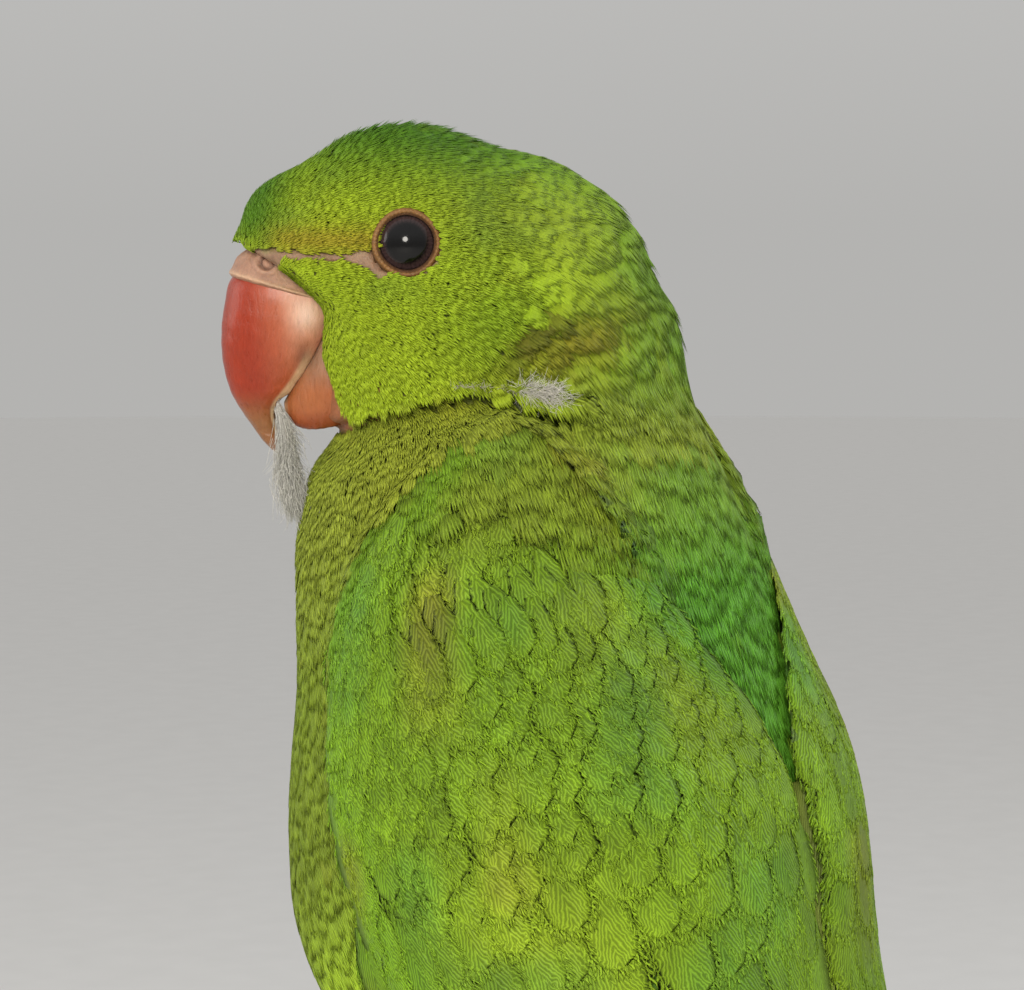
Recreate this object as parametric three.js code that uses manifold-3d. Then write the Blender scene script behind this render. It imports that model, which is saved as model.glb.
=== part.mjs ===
// A juvenile rose-ringed parakeet, life size, gripping a cut length of branch on a plain display stand.
// Millimetres, +Z up. The bird faces -Y and its left side is +X. The origin is the centre of the
// stand's underside, and the axis of the perch runs along X straight above it.
//
// The flesh is one smooth distance field, cast into rings of points and parted by thin plane cuts.

import * as THREE from 'three';
import { mergeVertices } from 'three/addons/utils/BufferGeometryUtils.js';
import Module from 'manifold-3d';

const wasm = await Module();
wasm.setup();

// ---------------------------------------------------------------- driving dimensions

const PERCH_HEIGHT = 158; // perch axis above the floor
const PERCH_RADIUS = 7.5;
const PERCH_LENGTH = 112;
const EYE_ABOVE_PERCH = 127;
const HEAD_TURN = THREE.MathUtils.degToRad(35); // the head looks 35 degrees to the bird's left
const BODY_PITCH = THREE.MathUtils.degToRad(62); // the back's slope
const GAP = 0.3; // between pieces that touch

const EYE_RADIUS = 4.9;
const EYE_SIDE = 10.6; // eye's centre from the middle of the head
const STAND_RADIUS = 62;
const STAND_THICKNESS = 9;
const ROD_RADIUS = 4;

const vec = (x, y, z) => new THREE.Vector3(x, y, z);

const HEAD_CENTRE = vec(7, -22.6, PERCH_HEIGHT + EYE_ABOVE_PERCH); // midway between the eyes
const SIDES = [
  ['left', 1],
  ['right', -1],
];

// Frame of the head: x to its left, y to the back of the head, z up.
const headFrame = new THREE.Matrix4().makeRotationZ(HEAD_TURN).setPosition(HEAD_CENTRE);
const headFrameInverse = headFrame.clone().invert();
const fromHead = (x, y, z) => vec(x, y, z).applyMatrix4(headFrame);

// Frame of the pitched body: s runs down the back to the tail, n points out of the back.
const BODY_ORIGIN = vec(0, -17.6, PERCH_HEIGHT + 78.4);
const alongBody = vec(0, Math.cos(BODY_PITCH), -Math.sin(BODY_PITCH));
const outOfBack = vec(0, Math.sin(BODY_PITCH), Math.cos(BODY_PITCH));
const fromBody = (s, x, n) =>
  BODY_ORIGIN.clone().addScaledVector(alongBody, s).addScaledVector(outOfBack, n).add(vec(x, 0, 0));

// ---------------------------------------------------------------- number helpers

// A smooth curve through rows of [position, value, value, ...].
function table(rows) {
  const last = rows.length - 1;
  const slope = (i, k) => {
    const a = rows[Math.max(i - 1, 0)];
    const b = rows[Math.min(i + 1, last)];
    return (b[k] - a[k]) / (b[0] - a[0]);
  };
  return (x, k) => {
    let i = 0;
    while (i < last - 1 && x > rows[i + 1][0]) i += 1;
    const step = rows[i + 1][0] - rows[i][0];
    const t = THREE.MathUtils.clamp((x - rows[i][0]) / step, 0, 1);
    const t2 = t * t;
    const t3 = t2 * t;
    return (
      (2 * t3 - 3 * t2 + 1) * rows[i][k] +
      (t3 - 2 * t2 + t) * step * slope(i, k) +
      (3 * t2 - 2 * t3) * rows[i + 1][k] +
      (t3 - t2) * step * slope(i + 1, k)
    );
  };
}

// Smooth union and smooth cut of two distances.
function blend(a, b, width) {
  const h = THREE.MathUtils.clamp(0.5 + (0.5 * (b - a)) / width, 0, 1);
  return b * (1 - h) + a * h - width * h * (1 - h);
}
const carve = (a, b, width) => -blend(-a, -b, width);
const bump = (x, middle, width) => Math.exp(-(((x - middle) / width) ** 2));
const { clamp, smoothstep } = THREE.MathUtils;

function ellipsoid(p, centre, radii) {
  const scaled = p.clone().sub(centre).divide(radii);
  const k0 = scaled.length();
  const k1 = scaled.divide(radii).length() + 1e-9;
  return (k0 * (k0 - 1)) / k1;
}

// ---------------------------------------------------------------- shape of the body

// Height above the perch, front, back and half width of the trunk; front and back are measured
// forwards from the perch's axis.
const trunkStation = table([
  [-40, -41, -46, 3.5],
  [-30, -35.5, -44.6, 7],
  [-19, -29, -43.6, 11],
  [-8, -20.5, -42.5, 15.5],
  [2, -12, -41, 20.5],
  [10, 0, -39.5, 24.5],
  [18, 19, -38, 27.5],
  [27, 33, -36.5, 29.5],
  [38, 39.6, -34, 31],
  [50, 40.8, -32.3, 31.5],
  [60, 40.2, -30, 31.3],
  [70, 39.3, -26.7, 30.2],
  [80, 39.8, -23.6, 28.8],
  [90, 40.3, -20.1, 26.6],
  [104, 36.6, -13.9, 22.3],
  [114, 30, -8.4, 18],
  [126, 22, -3, 12],
]);
const TRUNK_LOW = -40;
const TRUNK_HIGH = 126;
const PERCH_CLEARANCE = 12.3; // the belly clears the perch and the toes on it

function trunkDistance(p) {
  const height = p.z - PERCH_HEIGHT;
  const front = trunkStation(height, 1);
  const back = trunkStation(height, 2);
  const width = trunkStation(height, 3);
  const depth = (front - back) / 2;
  const k = Math.hypot((-p.y - (front + back) / 2) / depth, p.x / width);
  const side = (k - 1) * Math.min(depth, width) * 0.9;
  const beyond = Math.max(height - TRUNK_HIGH, TRUNK_LOW - height);
  return beyond > 0 ? Math.hypot(Math.max(side, 0), beyond) : side;
}

// Where the feathers stop against the bill: height and distance back from the eye, seen from the side.
const featherLine = table([
  [-29, -42],
  [-27, -24],
  [-25.5, -13.5],
  [-24, -9.5],
  [-22, -6.4],
  [-19.8, -8],
  [-16, -9.9],
  [-12.2, -10.6],
  [-8.4, -11],
  [-5.3, -14],
  [-2.6, -17.6],
  [-0.7, -20.8],
  [0.5, -24.5],
  [1.6, -42],
]);

// How far the head lies inside its ellipsoids: a flatter brow, crown and nape, and a dish round each eye.
function headHollows({ x, y, z }) {
  const brow = 1.4 * bump(y, -14.5, 6) * bump(z, 11.5, 4.5) + 0.8 * bump(y, -22, 4) * bump(z, 2.5, 3);
  const crown = 1.4 * bump(y, 12.5, 7.5) * bump(z, 12.5, 5);
  const nape = 1.5 * bump(y, 31, 8) * bump(z, -4.2, 4) - 0.9 * bump(y, 30, 8) * bump(z, -15.5, 5);
  const nearEye = (1 - smoothstep(Math.hypot(y, z), 4.4, 9.5)) * smoothstep(Math.abs(x), 4, 8);
  return brow + crown + nape + clamp(0.55 - 0.09 * z, 0, 1.1) * nearEye;
}

function headDistance(p) {
  const q = p.clone().applyMatrix4(headFrameInverse);
  const skull = ellipsoid(q, vec(0, 1.6, -2), vec(15.3, 25.3, 17.6));
  const cheeks = ellipsoid(q, vec(0, 4.5, -9.5), vec(16.5, 16, 13.5));
  const nape = ellipsoid(q, vec(0, 17, -11), vec(13.5, 15.6, 12.5));
  const whole = blend(blend(skull, cheeks, 5), nape, 6) + headHollows(q);
  if (q.z < -29 || q.z > 1.6) return whole;
  const swept = 0.05 * Math.max(Math.abs(q.x) - 5.5, 0) ** 2;
  const inFront = (featherLine(q.z, 1) + swept - q.y) * 0.7;
  return carve(whole, inFront, 1.2);
}

// Feathered base of the tail, in the body frame: position, middle, half width, half thickness.
const tailBase = table([
  [70, 3, 17, 14],
  [88, 5, 14, 10],
  [103, 5.2, 12.5, 6.4],
  [118, 4.6, 11.6, 4.3],
  [128, 4, 11.2, 3.5],
  [150, 2.4, 10.4, 3],
]);

function tailBaseDistance(p) {
  const q = p.clone().sub(BODY_ORIGIN);
  const s = q.dot(alongBody);
  const n = q.dot(outOfBack);
  const width = tailBase(s, 2);
  const thickness = tailBase(s, 3);
  const k = Math.hypot(p.x / width, (n - tailBase(s, 1)) / thickness);
  const side = (k - 1) * Math.min(width, thickness) * 0.9;
  const beyond = Math.max(s - 150, 70 - s);
  return beyond > 0 ? Math.hypot(Math.max(side, 0), beyond) : side;
}

function bodyDistance(p) {
  const trunk = blend(trunkDistance(p), tailBaseDistance(p), 8);
  const perch = Math.hypot(p.y, p.z - PERCH_HEIGHT);
  const seated = carve(trunk, PERCH_CLEARANCE - perch, 3);
  return blend(headDistance(p), seated, 9);
}

// ---------------------------------------------------------------- solids from points

// A closed mesh through rings of equal length, each end drawn to a point.
function skinOver(rings, start, end) {
  const count = rings[0].length;
  const points = [start, ...rings.flat(), end];
  const index = [];
  const at = (ring, k) => 1 + ring * count + (k % count);
  for (let k = 0; k < count; k += 1) {
    index.push(0, at(0, k + 1), at(0, k));
    for (let ring = 0; ring < rings.length - 1; ring += 1) {
      index.push(at(ring, k), at(ring, k + 1), at(ring + 1, k + 1));
      index.push(at(ring, k), at(ring + 1, k + 1), at(ring + 1, k));
    }
    index.push(points.length - 1, at(rings.length - 1, k), at(rings.length - 1, k + 1));
  }
  return facingOut(points, index);
}

// Turns every face over where the mesh encloses a negative volume.
function facingOut(points, index) {
  let volume = 0;
  for (let i = 0; i < index.length; i += 3) {
    const [a, b, c] = [points[index[i]], points[index[i + 1]], points[index[i + 2]]];
    volume += a.dot(b.clone().cross(c));
  }
  const geometry = new THREE.BufferGeometry().setFromPoints(points);
  geometry.setIndex(volume < 0 ? index.reverse() : index);
  return geometry;
}

const middleOf = (ring) =>
  ring.reduce((sum, point) => sum.add(point), vec(0, 0, 0)).divideScalar(ring.length);

function toSolid(geometry) {
  const bare = new THREE.BufferGeometry();
  bare.setAttribute('position', geometry.getAttribute('position'));
  bare.setIndex(geometry.getIndex());
  const merged = mergeVertices(bare, 1e-4);
  const vertProperties = Float32Array.from(merged.getAttribute('position').array);
  const triVerts = Uint32Array.from(merged.getIndex().array);
  return new wasm.Manifold(new wasm.Mesh({ numProp: 3, vertProperties, triVerts }));
}

function toGeometry(solid) {
  const mesh = solid.getMesh();
  const geometry = new THREE.BufferGeometry();
  geometry.setAttribute('position', new THREE.BufferAttribute(mesh.vertProperties, 3));
  geometry.setIndex(new THREE.BufferAttribute(mesh.triVerts, 1));
  geometry.computeVertexNormals();
  return geometry;
}

// The point where a ray last leaves the surface, found by walking in from outside.
function outermost(distance, origin, direction, reach = 90) {
  let t = reach;
  for (let step = 0; step < 90; step += 1) {
    const d = distance(origin.clone().addScaledVector(direction, t));
    if (Math.abs(d) < 0.005) break;
    t = Math.max(t - d * 0.75, 0);
  }
  return origin.clone().addScaledVector(direction, t);
}

// Rings cast round a spine, in planes square to it. The ends close on the spine.
function castAlong(distance, spine, segments) {
  const rings = spine.map((centre, i) => {
    const before = spine[Math.max(i - 1, 0)];
    const after = spine[Math.min(i + 1, spine.length - 1)];
    const along = after.clone().sub(before).normalize();
    const front = vec(0, -1, 0).addScaledVector(along, along.y).normalize();
    const side = along.clone().cross(front);
    return Array.from({ length: segments }, (_, k) => {
      const angle = (2 * Math.PI * k) / segments;
      const ray = front.clone().multiplyScalar(Math.cos(angle)).addScaledVector(side, Math.sin(angle));
      return outermost(distance, centre, ray);
    });
  });
  return skinOver(rings, spine[0], spine[spine.length - 1]);
}

// Rings cast from one centre, like the lines of latitude about an axis.
function castFrom(distance, centre, axis, across, bands, segments) {
  const third = axis.clone().cross(across);
  const shoot = (polar, angle) => {
    const ray = axis.clone().multiplyScalar(Math.cos(polar));
    ray.addScaledVector(across, Math.sin(polar) * Math.cos(angle));
    ray.addScaledVector(third, Math.sin(polar) * Math.sin(angle));
    return outermost(distance, centre, ray);
  };
  const rings = Array.from({ length: bands - 1 }, (_, i) =>
    Array.from({ length: segments }, (__, k) =>
      shoot((Math.PI * (i + 1)) / bands, (2 * Math.PI * k) / segments),
    ),
  );
  return skinOver(rings, shoot(0, 0), shoot(Math.PI, 0));
}

// The part of a solid in front of a plane, and a thin cut's two sides.
function inFrontOf(solid, point, normal, setBack = GAP / 2) {
  const size = 700;
  const box = new THREE.BoxGeometry(size, size, size);
  box.translate(0, 0, size / 2 + setBack);
  box.applyQuaternion(new THREE.Quaternion().setFromUnitVectors(vec(0, 0, 1), normal));
  box.translate(point.x, point.y, point.z);
  return solid.intersect(toSolid(box));
}
const behind = (solid, point, normal) => inFrontOf(solid, point, normal.clone().negate());

// A round rod of changing radius along a list of points.
function rodThrough(points, radii, sides) {
  const rings = points.map((point, i) => {
    const before = points[Math.max(i - 1, 0)];
    const after = points[Math.min(i + 1, points.length - 1)];
    const along = after.clone().sub(before).normalize();
    const across = Math.abs(along.x) > 0.9 ? vec(0, 0, 1) : vec(1, 0, 0);
    const u = along.clone().cross(across).normalize();
    const v = along.clone().cross(u);
    return Array.from({ length: sides }, (_, k) => {
      const angle = (2 * Math.PI * k) / sides;
      const offset = u.clone().multiplyScalar(Math.cos(angle)).addScaledVector(v, Math.sin(angle));
      return point.clone().addScaledVector(offset, radii[i]);
    });
  });
  return skinOver(rings, points[0], points[points.length - 1]);
}

// ---------------------------------------------------------------- the model

const COLOURS = {
  crown: 0x7f9a35,
  green: 0x5f9a34,
  belly: 0x9bb548,
  wing: 0x4f8a35,
  flight: 0x3f7a4a,
  tail: 0x3c8a5c,
  bill: 0xc8503c,
  cere: 0xcaa08c,
  eye: 0x140e0a,
  skin: 0x8f7f78,
  claw: 0x3a322c,
  down: 0xdcd8cc,
  bark: 0x6e5a46,
  wood: 0x2f2a26,
  steel: 0x8c8c8c,
};

const model = new THREE.Group();

function addPiece(name, solid, colour, roughness = 0.8, metalness = 0) {
  const material = new THREE.MeshStandardMaterial({ color: colour, roughness, metalness });
  const geometry = solid.isBufferGeometry ? solid : toGeometry(solid);
  const piece = new THREE.Mesh(geometry, material);
  piece.name = name;
  model.add(piece);
}

// ---------------------------------------------------------------- eyes

// Each eyeball sits in a round socket that opens into a shallow funnel between the lids.
const eyeCentre = (side) => fromHead(side * EYE_SIDE, 0, 0);

function eyeball(side, radius) {
  const ball = new THREE.SphereGeometry(radius, 12, 8);
  ball.rotateX(Math.PI / 2);
  ball.rotateZ(HEAD_TURN);
  const centre = eyeCentre(side);
  return ball.translate(centre.x, centre.y, centre.z);
}

function eyeSocket(side) {
  const funnel = rodThrough(
    [2.4, 4.5, 9].map((out) => fromHead(side * (EYE_SIDE + out), 0, 0)),
    [4.1, 4.7, 6],
    12,
  );
  return toSolid(eyeball(side, EYE_RADIUS + GAP)).add(toSolid(funnel));
}

// ---------------------------------------------------------------- bill and cere

// Sections of the upper bill from its base to the hook: the ridge, the cutting edge and the half
// width, as [ridge y, ridge z, edge y, edge z, half width] in the head's frame.
const UPPER_BILL = [
  [-17.5, -2.4, -8, -6.4, 5.9],
  [-22.7, -4, -9, -7.8, 6.7],
  [-24, -8, -10, -10, 6.8],
  [-24.4, -11.7, -11.8, -13.8, 6.3],
  [-24.2, -15.3, -14.2, -17.6, 5.2],
  [-23.3, -18.8, -16.9, -20.5, 4],
  [-21.9, -21.4, -17.5, -22.1, 3],
  [-20.1, -24, -17.1, -24.6, 1.9],
];
const BILL_SIDES = 12;
const HOOK_TIP = [0, -16.8, -27.2];
const HOOK_ROOM = [0, -16.7, -27.8]; // the tip of the room that the upper bill is given

const LOWER_BILL = [
  [-16.3, -20.2, -16, -22.2, 2.3],
  [-14.8, -17.4, -14.6, -23.4, 3.9],
  [-12.6, -13.8, -12.7, -23.8, 4.9],
  [-10.2, -9.8, -10.2, -23.5, 5.9],
  [-6, -8, -6.3, -22.6, 6.4],
];
const CERE = [
  [-14, 1, -8.6, -3, 4.6],
  [-18.9, 0.4, -9.8, -4.8, 6.1],
  [-22.1, -1.5, -10, -6.6, 6.8],
  [-23.1, -3.7, -9.8, -7.5, 7],
];
const NOSTRIL = { y: -18, z: -2.4, side: 6.1, radius: 0.8 };

// A ring between a ridge and an edge: an oval squared up by its exponent.
function billRing([ridgeY, ridgeZ, edgeY, edgeZ, width], grow) {
  const ridge = vec(0, ridgeY, ridgeZ);
  const edge = vec(0, edgeY, edgeZ);
  const centre = ridge.clone().add(edge).divideScalar(2);
  const half = ridge.clone().sub(centre);
  const upright = half.clone().setLength(half.length() + grow);
  const squared = (value) => Math.sign(value) * Math.abs(value) ** 0.8;
  return Array.from({ length: BILL_SIDES }, (_, k) => {
    const angle = (2 * Math.PI * k) / BILL_SIDES;
    const local = centre.clone().addScaledVector(upright, squared(Math.cos(angle)));
    return fromHead((width + grow) * squared(Math.sin(angle)), local.y, local.z);
  });
}

function billLoft(sections, tip, grow = 0) {
  const rings = sections.map((section) => billRing(section, grow));
  const end = tip ? fromHead(...tip) : middleOf(rings[rings.length - 1]);
  return toSolid(skinOver(rings, middleOf(rings[0]), end));
}

function buildBill() {
  const upper = billLoft(UPPER_BILL, HOOK_TIP);
  const upperRoom = billLoft(UPPER_BILL, HOOK_ROOM, GAP);
  const lower = billLoft(LOWER_BILL, null).subtract(upperRoom);
  const cere = billLoft(CERE, null).subtract(upperRoom);
  const nostrils = SIDES.map(([, side]) => {
    const pit = new THREE.SphereGeometry(NOSTRIL.radius, 8, 6);
    const place = fromHead(side * NOSTRIL.side, NOSTRIL.y, NOSTRIL.z);
    return toSolid(pit.translate(place.x, place.y, place.z));
  });
  const pierced = nostrils.reduce((solid, pit) => solid.subtract(pit), cere);
  const room = upperRoom.add(billLoft(LOWER_BILL, null, GAP)).add(billLoft(CERE, null, GAP));
  return { upper, lower, cere: pierced, room };
}

// ---------------------------------------------------------------- legs and feet

const LEG_SIDE = 13.5;
const TOE_RING = PERCH_RADIUS + 2.1; // radius at which a toe's middle wraps round the perch
// Toes as [sideways start, sideways end, sweep in degrees, root radius, tip radius]; the first two
// go forwards over the perch and the last two backwards.
const TOES = [
  [-2, -5.5, 88, 1.7, 1.25],
  [2, 5.5, 118, 1.8, 1.3],
  [-2, -5, -66, 1.6, 1.25],
  [2, 5, -104, 1.8, 1.3],
];
const CLAW_SWEEP = 42;

function roundPerch(x, degrees, radius) {
  const angle = THREE.MathUtils.degToRad(degrees);
  return vec(x, -radius * Math.sin(angle), PERCH_HEIGHT + radius * Math.cos(angle));
}

function buildToe(side, [from, to, sweep, rootRadius, tipRadius]) {
  const steps = 6;
  const points = [];
  const radii = [];
  for (let i = 0; i <= steps; i += 1) {
    const t = i / steps;
    const x = side * (LEG_SIDE + THREE.MathUtils.lerp(from, to, t));
    points.push(roundPerch(x, sweep * t, TOE_RING));
    const knuckle = i % 2 === 0 ? 0.15 : 0;
    radii.push(THREE.MathUtils.lerp(rootRadius, tipRadius, t) + (i > 0 && i < steps ? knuckle : -0.3));
  }
  return toSolid(rodThrough(points, radii, 6));
}

function buildClaw(side, [, to, sweep]) {
  const steps = 4;
  const points = [];
  const radii = [];
  const direction = Math.sign(sweep);
  for (let i = 0; i <= steps; i += 1) {
    const t = i / steps;
    const degrees = sweep + direction * (4.5 + CLAW_SWEEP * t);
    const lift = 1.2 * Math.sin(Math.PI * t) - 0.9 * t * t;
    points.push(roundPerch(side * (LEG_SIDE + to), degrees, TOE_RING + lift));
    radii.push(THREE.MathUtils.lerp(1.15, 0.28, t));
  }
  return rodThrough(points, radii, 5);
}

function buildFoot(side) {
  const top = PERCH_HEIGHT + TOE_RING;
  const shank = rodThrough(
    [vec(0, 0, -0.6), vec(0, 0.3, 1.5), vec(0.2, 1.2, 4.5), vec(0.4, 2.4, 8)].map((p) =>
      vec(side * (LEG_SIDE + p.x), p.y, top + p.z),
    ),
    [2.6, 2.5, 2.1, 2.3],
    10,
  );
  return TOES.reduce((foot, toe) => foot.add(buildToe(side, toe)), toSolid(shank));
}

// Feathered thighs, set against the belly.
function buildThigh(side, grow) {
  const centre = vec(side * 14.5, -3.5, PERCH_HEIGHT + 25);
  const radii = vec(9.3 + grow, 12 + grow, 12 + grow);
  const axis = vec(0, -0.35, 0.94).normalize();
  const shape = (p) => ellipsoid(p, centre, radii);
  return toSolid(castFrom(shape, centre, axis, vec(1, 0, 0), 8, 14));
}

// Room round each shank, and round the perch with the toes on it.
function shankRoom(side) {
  const low = vec(side * LEG_SIDE, -2, PERCH_HEIGHT + 6);
  const high = vec(side * (LEG_SIDE + 0.4), 3.2, PERCH_HEIGHT + 18.6);
  return toSolid(rodThrough([low, high], [3.2, 3.2], 8));
}

function perchRoom() {
  const ends = [-1, 1].map((side) => vec((side * PERCH_LENGTH) / 2, 0, PERCH_HEIGHT));
  return toSolid(rodThrough(ends, [PERCH_CLEARANCE - GAP, PERCH_CLEARANCE - GAP], 20));
}

// ---------------------------------------------------------------- wings

// The folded wing lies round the body: position down the back, the angles of its lower and upper
// edges from the belly's middle (degrees), and its thickness.
const wingStation = table([
  [-15.5, 135, 147, 1.2],
  [-13, 122, 151, 2.4],
  [-10, 110, 152.5, 3.6],
  [-6.5, 101, 154, 4.6],
  [-2.5, 93.5, 155.5, 5.3],
  [2, 87, 157, 5.8],
  [7, 82, 159, 5.8],
  [13, 77.5, 161, 5.8],
  [20, 74.5, 166, 5.6],
  [28, 72.5, 173, 5.4],
  [36, 71.5, 177, 5.2],
  [48, 72.5, 177.5, 4.8],
  [62, 77, 177.5, 4.2],
  [76, 84, 177.5, 3.6],
  [90, 94, 177.5, 2.9],
  [104, 107, 177.5, 2.3],
  [118, 121, 177, 1.9],
  [131, 136, 176, 1.5],
  [141, 149, 174, 1.2],
  [147, 159, 170, 0.9],
]);
const WING_START = -15.5;
const WING_END = 147;
const WING_CUT = 92; // the long flight feathers are a piece of their own beyond this
const WING_RINGS = 21;
const WING_ARC = 8;
const WING_EDGE = 0.6; // thickness at the rim
const WING_LIFT = 0.75; // the shell's inside clears the flat facets of the body

// Thickness at a share u of the way from the lower edge to the upper, which is slim under the mantle.
function wingThickness(s, u) {
  const slim = smoothstep(u, 0.5, 1) * (1 - smoothstep(s, 16, 42));
  return WING_EDGE + (wingStation(s, 3) - WING_EDGE) * Math.sin(Math.PI * u) ** 0.5 * (1 - 0.7 * slim);
}

function buildWing(side) {
  const rings = [];
  for (let i = 0; i < WING_RINGS; i += 1) {
    const t = i / (WING_RINGS - 1);
    const s = THREE.MathUtils.lerp(WING_START, WING_END, t ** 1.15);
    const outside = [];
    const inside = [];
    for (let k = 0; k < WING_ARC; k += 1) {
      const u = k / (WING_ARC - 1);
      const degrees = THREE.MathUtils.lerp(wingStation(s, 1), wingStation(s, 2), u);
      const angle = THREE.MathUtils.degToRad(degrees);
      const ray = vec(side * Math.sin(angle), 0, 0).addScaledVector(outOfBack, -Math.cos(angle));
      const foot = outermost(bodyDistance, fromBody(s, 0, 0), ray);
      inside.unshift(foot.clone().addScaledVector(ray, WING_LIFT));
      outside.push(foot.clone().addScaledVector(ray, WING_LIFT + wingThickness(s, u)));
    }
    rings.push([...outside, ...inside]);
  }
  return toSolid(skinOver(rings, middleOf(rings[0]), middleOf(rings[rings.length - 1])));
}

// ---------------------------------------------------------------- tail

const TAIL_START = 126.3;
const TAIL_DROP = -0.075; // the tail leaves the back's line by this slope
const TAIL_MIDDLE = 4.1;
// Feather pairs from the long middle one outwards: length, half width where widest, height in the stack.
const TAIL_PAIRS = [
  [127, 6, 1.5],
  [104, 7.4, 0.9],
  [84, 8.6, 0.3],
  [68, 9.5, -0.3],
  [54, 10.2, -0.9],
  [42, 10.8, -1.5],
];
const TAIL_BLADE = 0.8;

function buildTailPair([length, halfWidth, height]) {
  const outline = new THREE.Shape();
  outline.moveTo(-halfWidth * 0.86, 0);
  outline.bezierCurveTo(-halfWidth, length * 0.3, -halfWidth * 0.95, length * 0.7, -1, length);
  outline.lineTo(1, length);
  outline.bezierCurveTo(halfWidth * 0.95, length * 0.7, halfWidth, length * 0.3, halfWidth * 0.86, 0);
  outline.closePath();
  const options = { depth: TAIL_BLADE, bevelEnabled: false, curveSegments: 5 };
  const blade = new THREE.ExtrudeGeometry(outline, options);
  const across = vec(-1, 0, 0);
  const along = alongBody.clone().addScaledVector(outOfBack, TAIL_DROP).normalize();
  const up = across.clone().cross(along);
  const place = new THREE.Matrix4().makeBasis(across, along, up);
  const root = fromBody(TAIL_START, 0, TAIL_MIDDLE + height - TAIL_BLADE / 2);
  const indexed = mergeVertices(blade.deleteAttribute('normal').deleteAttribute('uv'), 1e-4);
  return toSolid(indexed.applyMatrix4(place.setPosition(root)));
}

// ---------------------------------------------------------------- perch and stand

function buildPerch() {
  const steps = 9;
  const points = [];
  const radii = [];
  for (let i = 0; i <= steps; i += 1) {
    const t = i / steps;
    points.push(vec((t - 0.5) * PERCH_LENGTH, 0, PERCH_HEIGHT));
    const swell = 0.35 * Math.sin(9 * t) - 0.35;
    radii.push(PERCH_RADIUS + swell);
  }
  const limb = toSolid(rodThrough(points, radii, 14));
  const spur = rodThrough(
    [vec(-43, 1, PERCH_HEIGHT), vec(-47, 7, PERCH_HEIGHT + 5), vec(-50, 12.5, PERCH_HEIGHT + 9)],
    [4.6, 3.4, 3],
    8,
  );
  return limb.add(toSolid(spur));
}

function buildStandBase() {
  const rim = 1.5;
  const profile = new THREE.Path();
  profile.moveTo(0, 0);
  profile.lineTo(STAND_RADIUS, 0);
  profile.lineTo(STAND_RADIUS, STAND_THICKNESS - rim);
  profile.absarc(STAND_RADIUS - rim, STAND_THICKNESS - rim, rim, 0, Math.PI / 2, false);
  profile.lineTo(0, STAND_THICKNESS);
  const disc = new THREE.LatheGeometry(profile.getPoints(2), 36);
  disc.rotateX(Math.PI / 2);
  return mergeVertices(disc.deleteAttribute('normal').deleteAttribute('uv'), 1e-4);
}

function buildStandRod() {
  const low = STAND_THICKNESS + GAP;
  const high = PERCH_HEIGHT - PERCH_RADIUS - GAP;
  const rod = new THREE.CylinderGeometry(ROD_RADIUS, ROD_RADIUS, high - low, 16);
  rod.rotateX(Math.PI / 2).translate(0, 0, (high + low) / 2);
  return mergeVertices(rod.deleteAttribute('normal').deleteAttribute('uv'), 1e-4);
}

// ---------------------------------------------------------------- assembly

// Thin cuts that part the flesh: a point and the normal towards the head.
const NECK_CUT = [fromHead(0, 12, -20), vec(0, -0.13, 1).normalize()];
const HEAD_OVERLAP = 7; // how far below the neck's cut the head is cast
const SHOULDER_CUT = [vec(0, -10, PERCH_HEIGHT + 98), vec(0, -0.25, 1).normalize()];
const RUMP_CUT = [fromBody(84, 0, 0), alongBody.clone().negate()];
const TAIL_CUT = [fromBody(TAIL_START - GAP, 0, 0), alongBody.clone().negate()];

const bill = buildBill();

// The head is cast from its own middle and stops a little below the neck's cut.
const headAlone = (p) => {
  const below = NECK_CUT[0].clone().sub(p).dot(NECK_CUT[1]) - HEAD_OVERLAP;
  return Math.max(bodyDistance(p), below);
};
const throughEyes = fromHead(1, 0, 0).sub(HEAD_CENTRE);
const headCast = castFrom(headAlone, fromHead(0, 3, -5), throughEyes, vec(0, 0, 1), 15, 32);
let head = inFrontOf(toSolid(headCast), ...NECK_CUT).subtract(bill.room);
SIDES.forEach(([, side]) => {
  head = head.subtract(eyeSocket(side));
});

// The rest is cast along a spine from the tail's base up into the neck.
const spineCurve = new THREE.CatmullRomCurve3(
  [
    fromBody(134, 0, 3.4),
    fromBody(108, 0, 4.6),
    fromBody(84, 0, 6),
    vec(0, 19, PERCH_HEIGHT + 14),
    vec(0, 7, PERCH_HEIGHT + 36),
    vec(0, -4, PERCH_HEIGHT + 62),
    vec(0, -9, PERCH_HEIGHT + 88),
    vec(3, -14, PERCH_HEIGHT + 106),
    vec(6, -19, PERCH_HEIGHT + 120),
  ],
  false,
  'centripetal',
);
const bodyCast = toSolid(castAlong(bodyDistance, spineCurve.getSpacedPoints(22), 26));
const neck = inFrontOf(behind(bodyCast, ...NECK_CUT), ...SHOULDER_CUT).subtract(bill.room);
let trunk = inFrontOf(behind(bodyCast, ...SHOULDER_CUT), ...RUMP_CUT).subtract(perchRoom());
SIDES.forEach(([, side]) => {
  trunk = trunk.subtract(buildThigh(side, GAP)).subtract(shankRoom(side));
});
const rump = inFrontOf(behind(bodyCast, ...RUMP_CUT), ...TAIL_CUT);

addPiece('head', head, COLOURS.crown);
addPiece('neck', neck, COLOURS.green);
addPiece('trunk', trunk, COLOURS.belly);
addPiece('rump', rump, COLOURS.green);
addPiece('tail', TAIL_PAIRS.map(buildTailPair).reduce((whole, pair) => whole.add(pair)), COLOURS.tail);

addPiece('bill_upper', bill.upper, COLOURS.bill, 0.3);
addPiece('bill_lower', bill.lower, COLOURS.bill, 0.35);
addPiece('cere', bill.cere, COLOURS.cere, 0.6);

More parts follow.
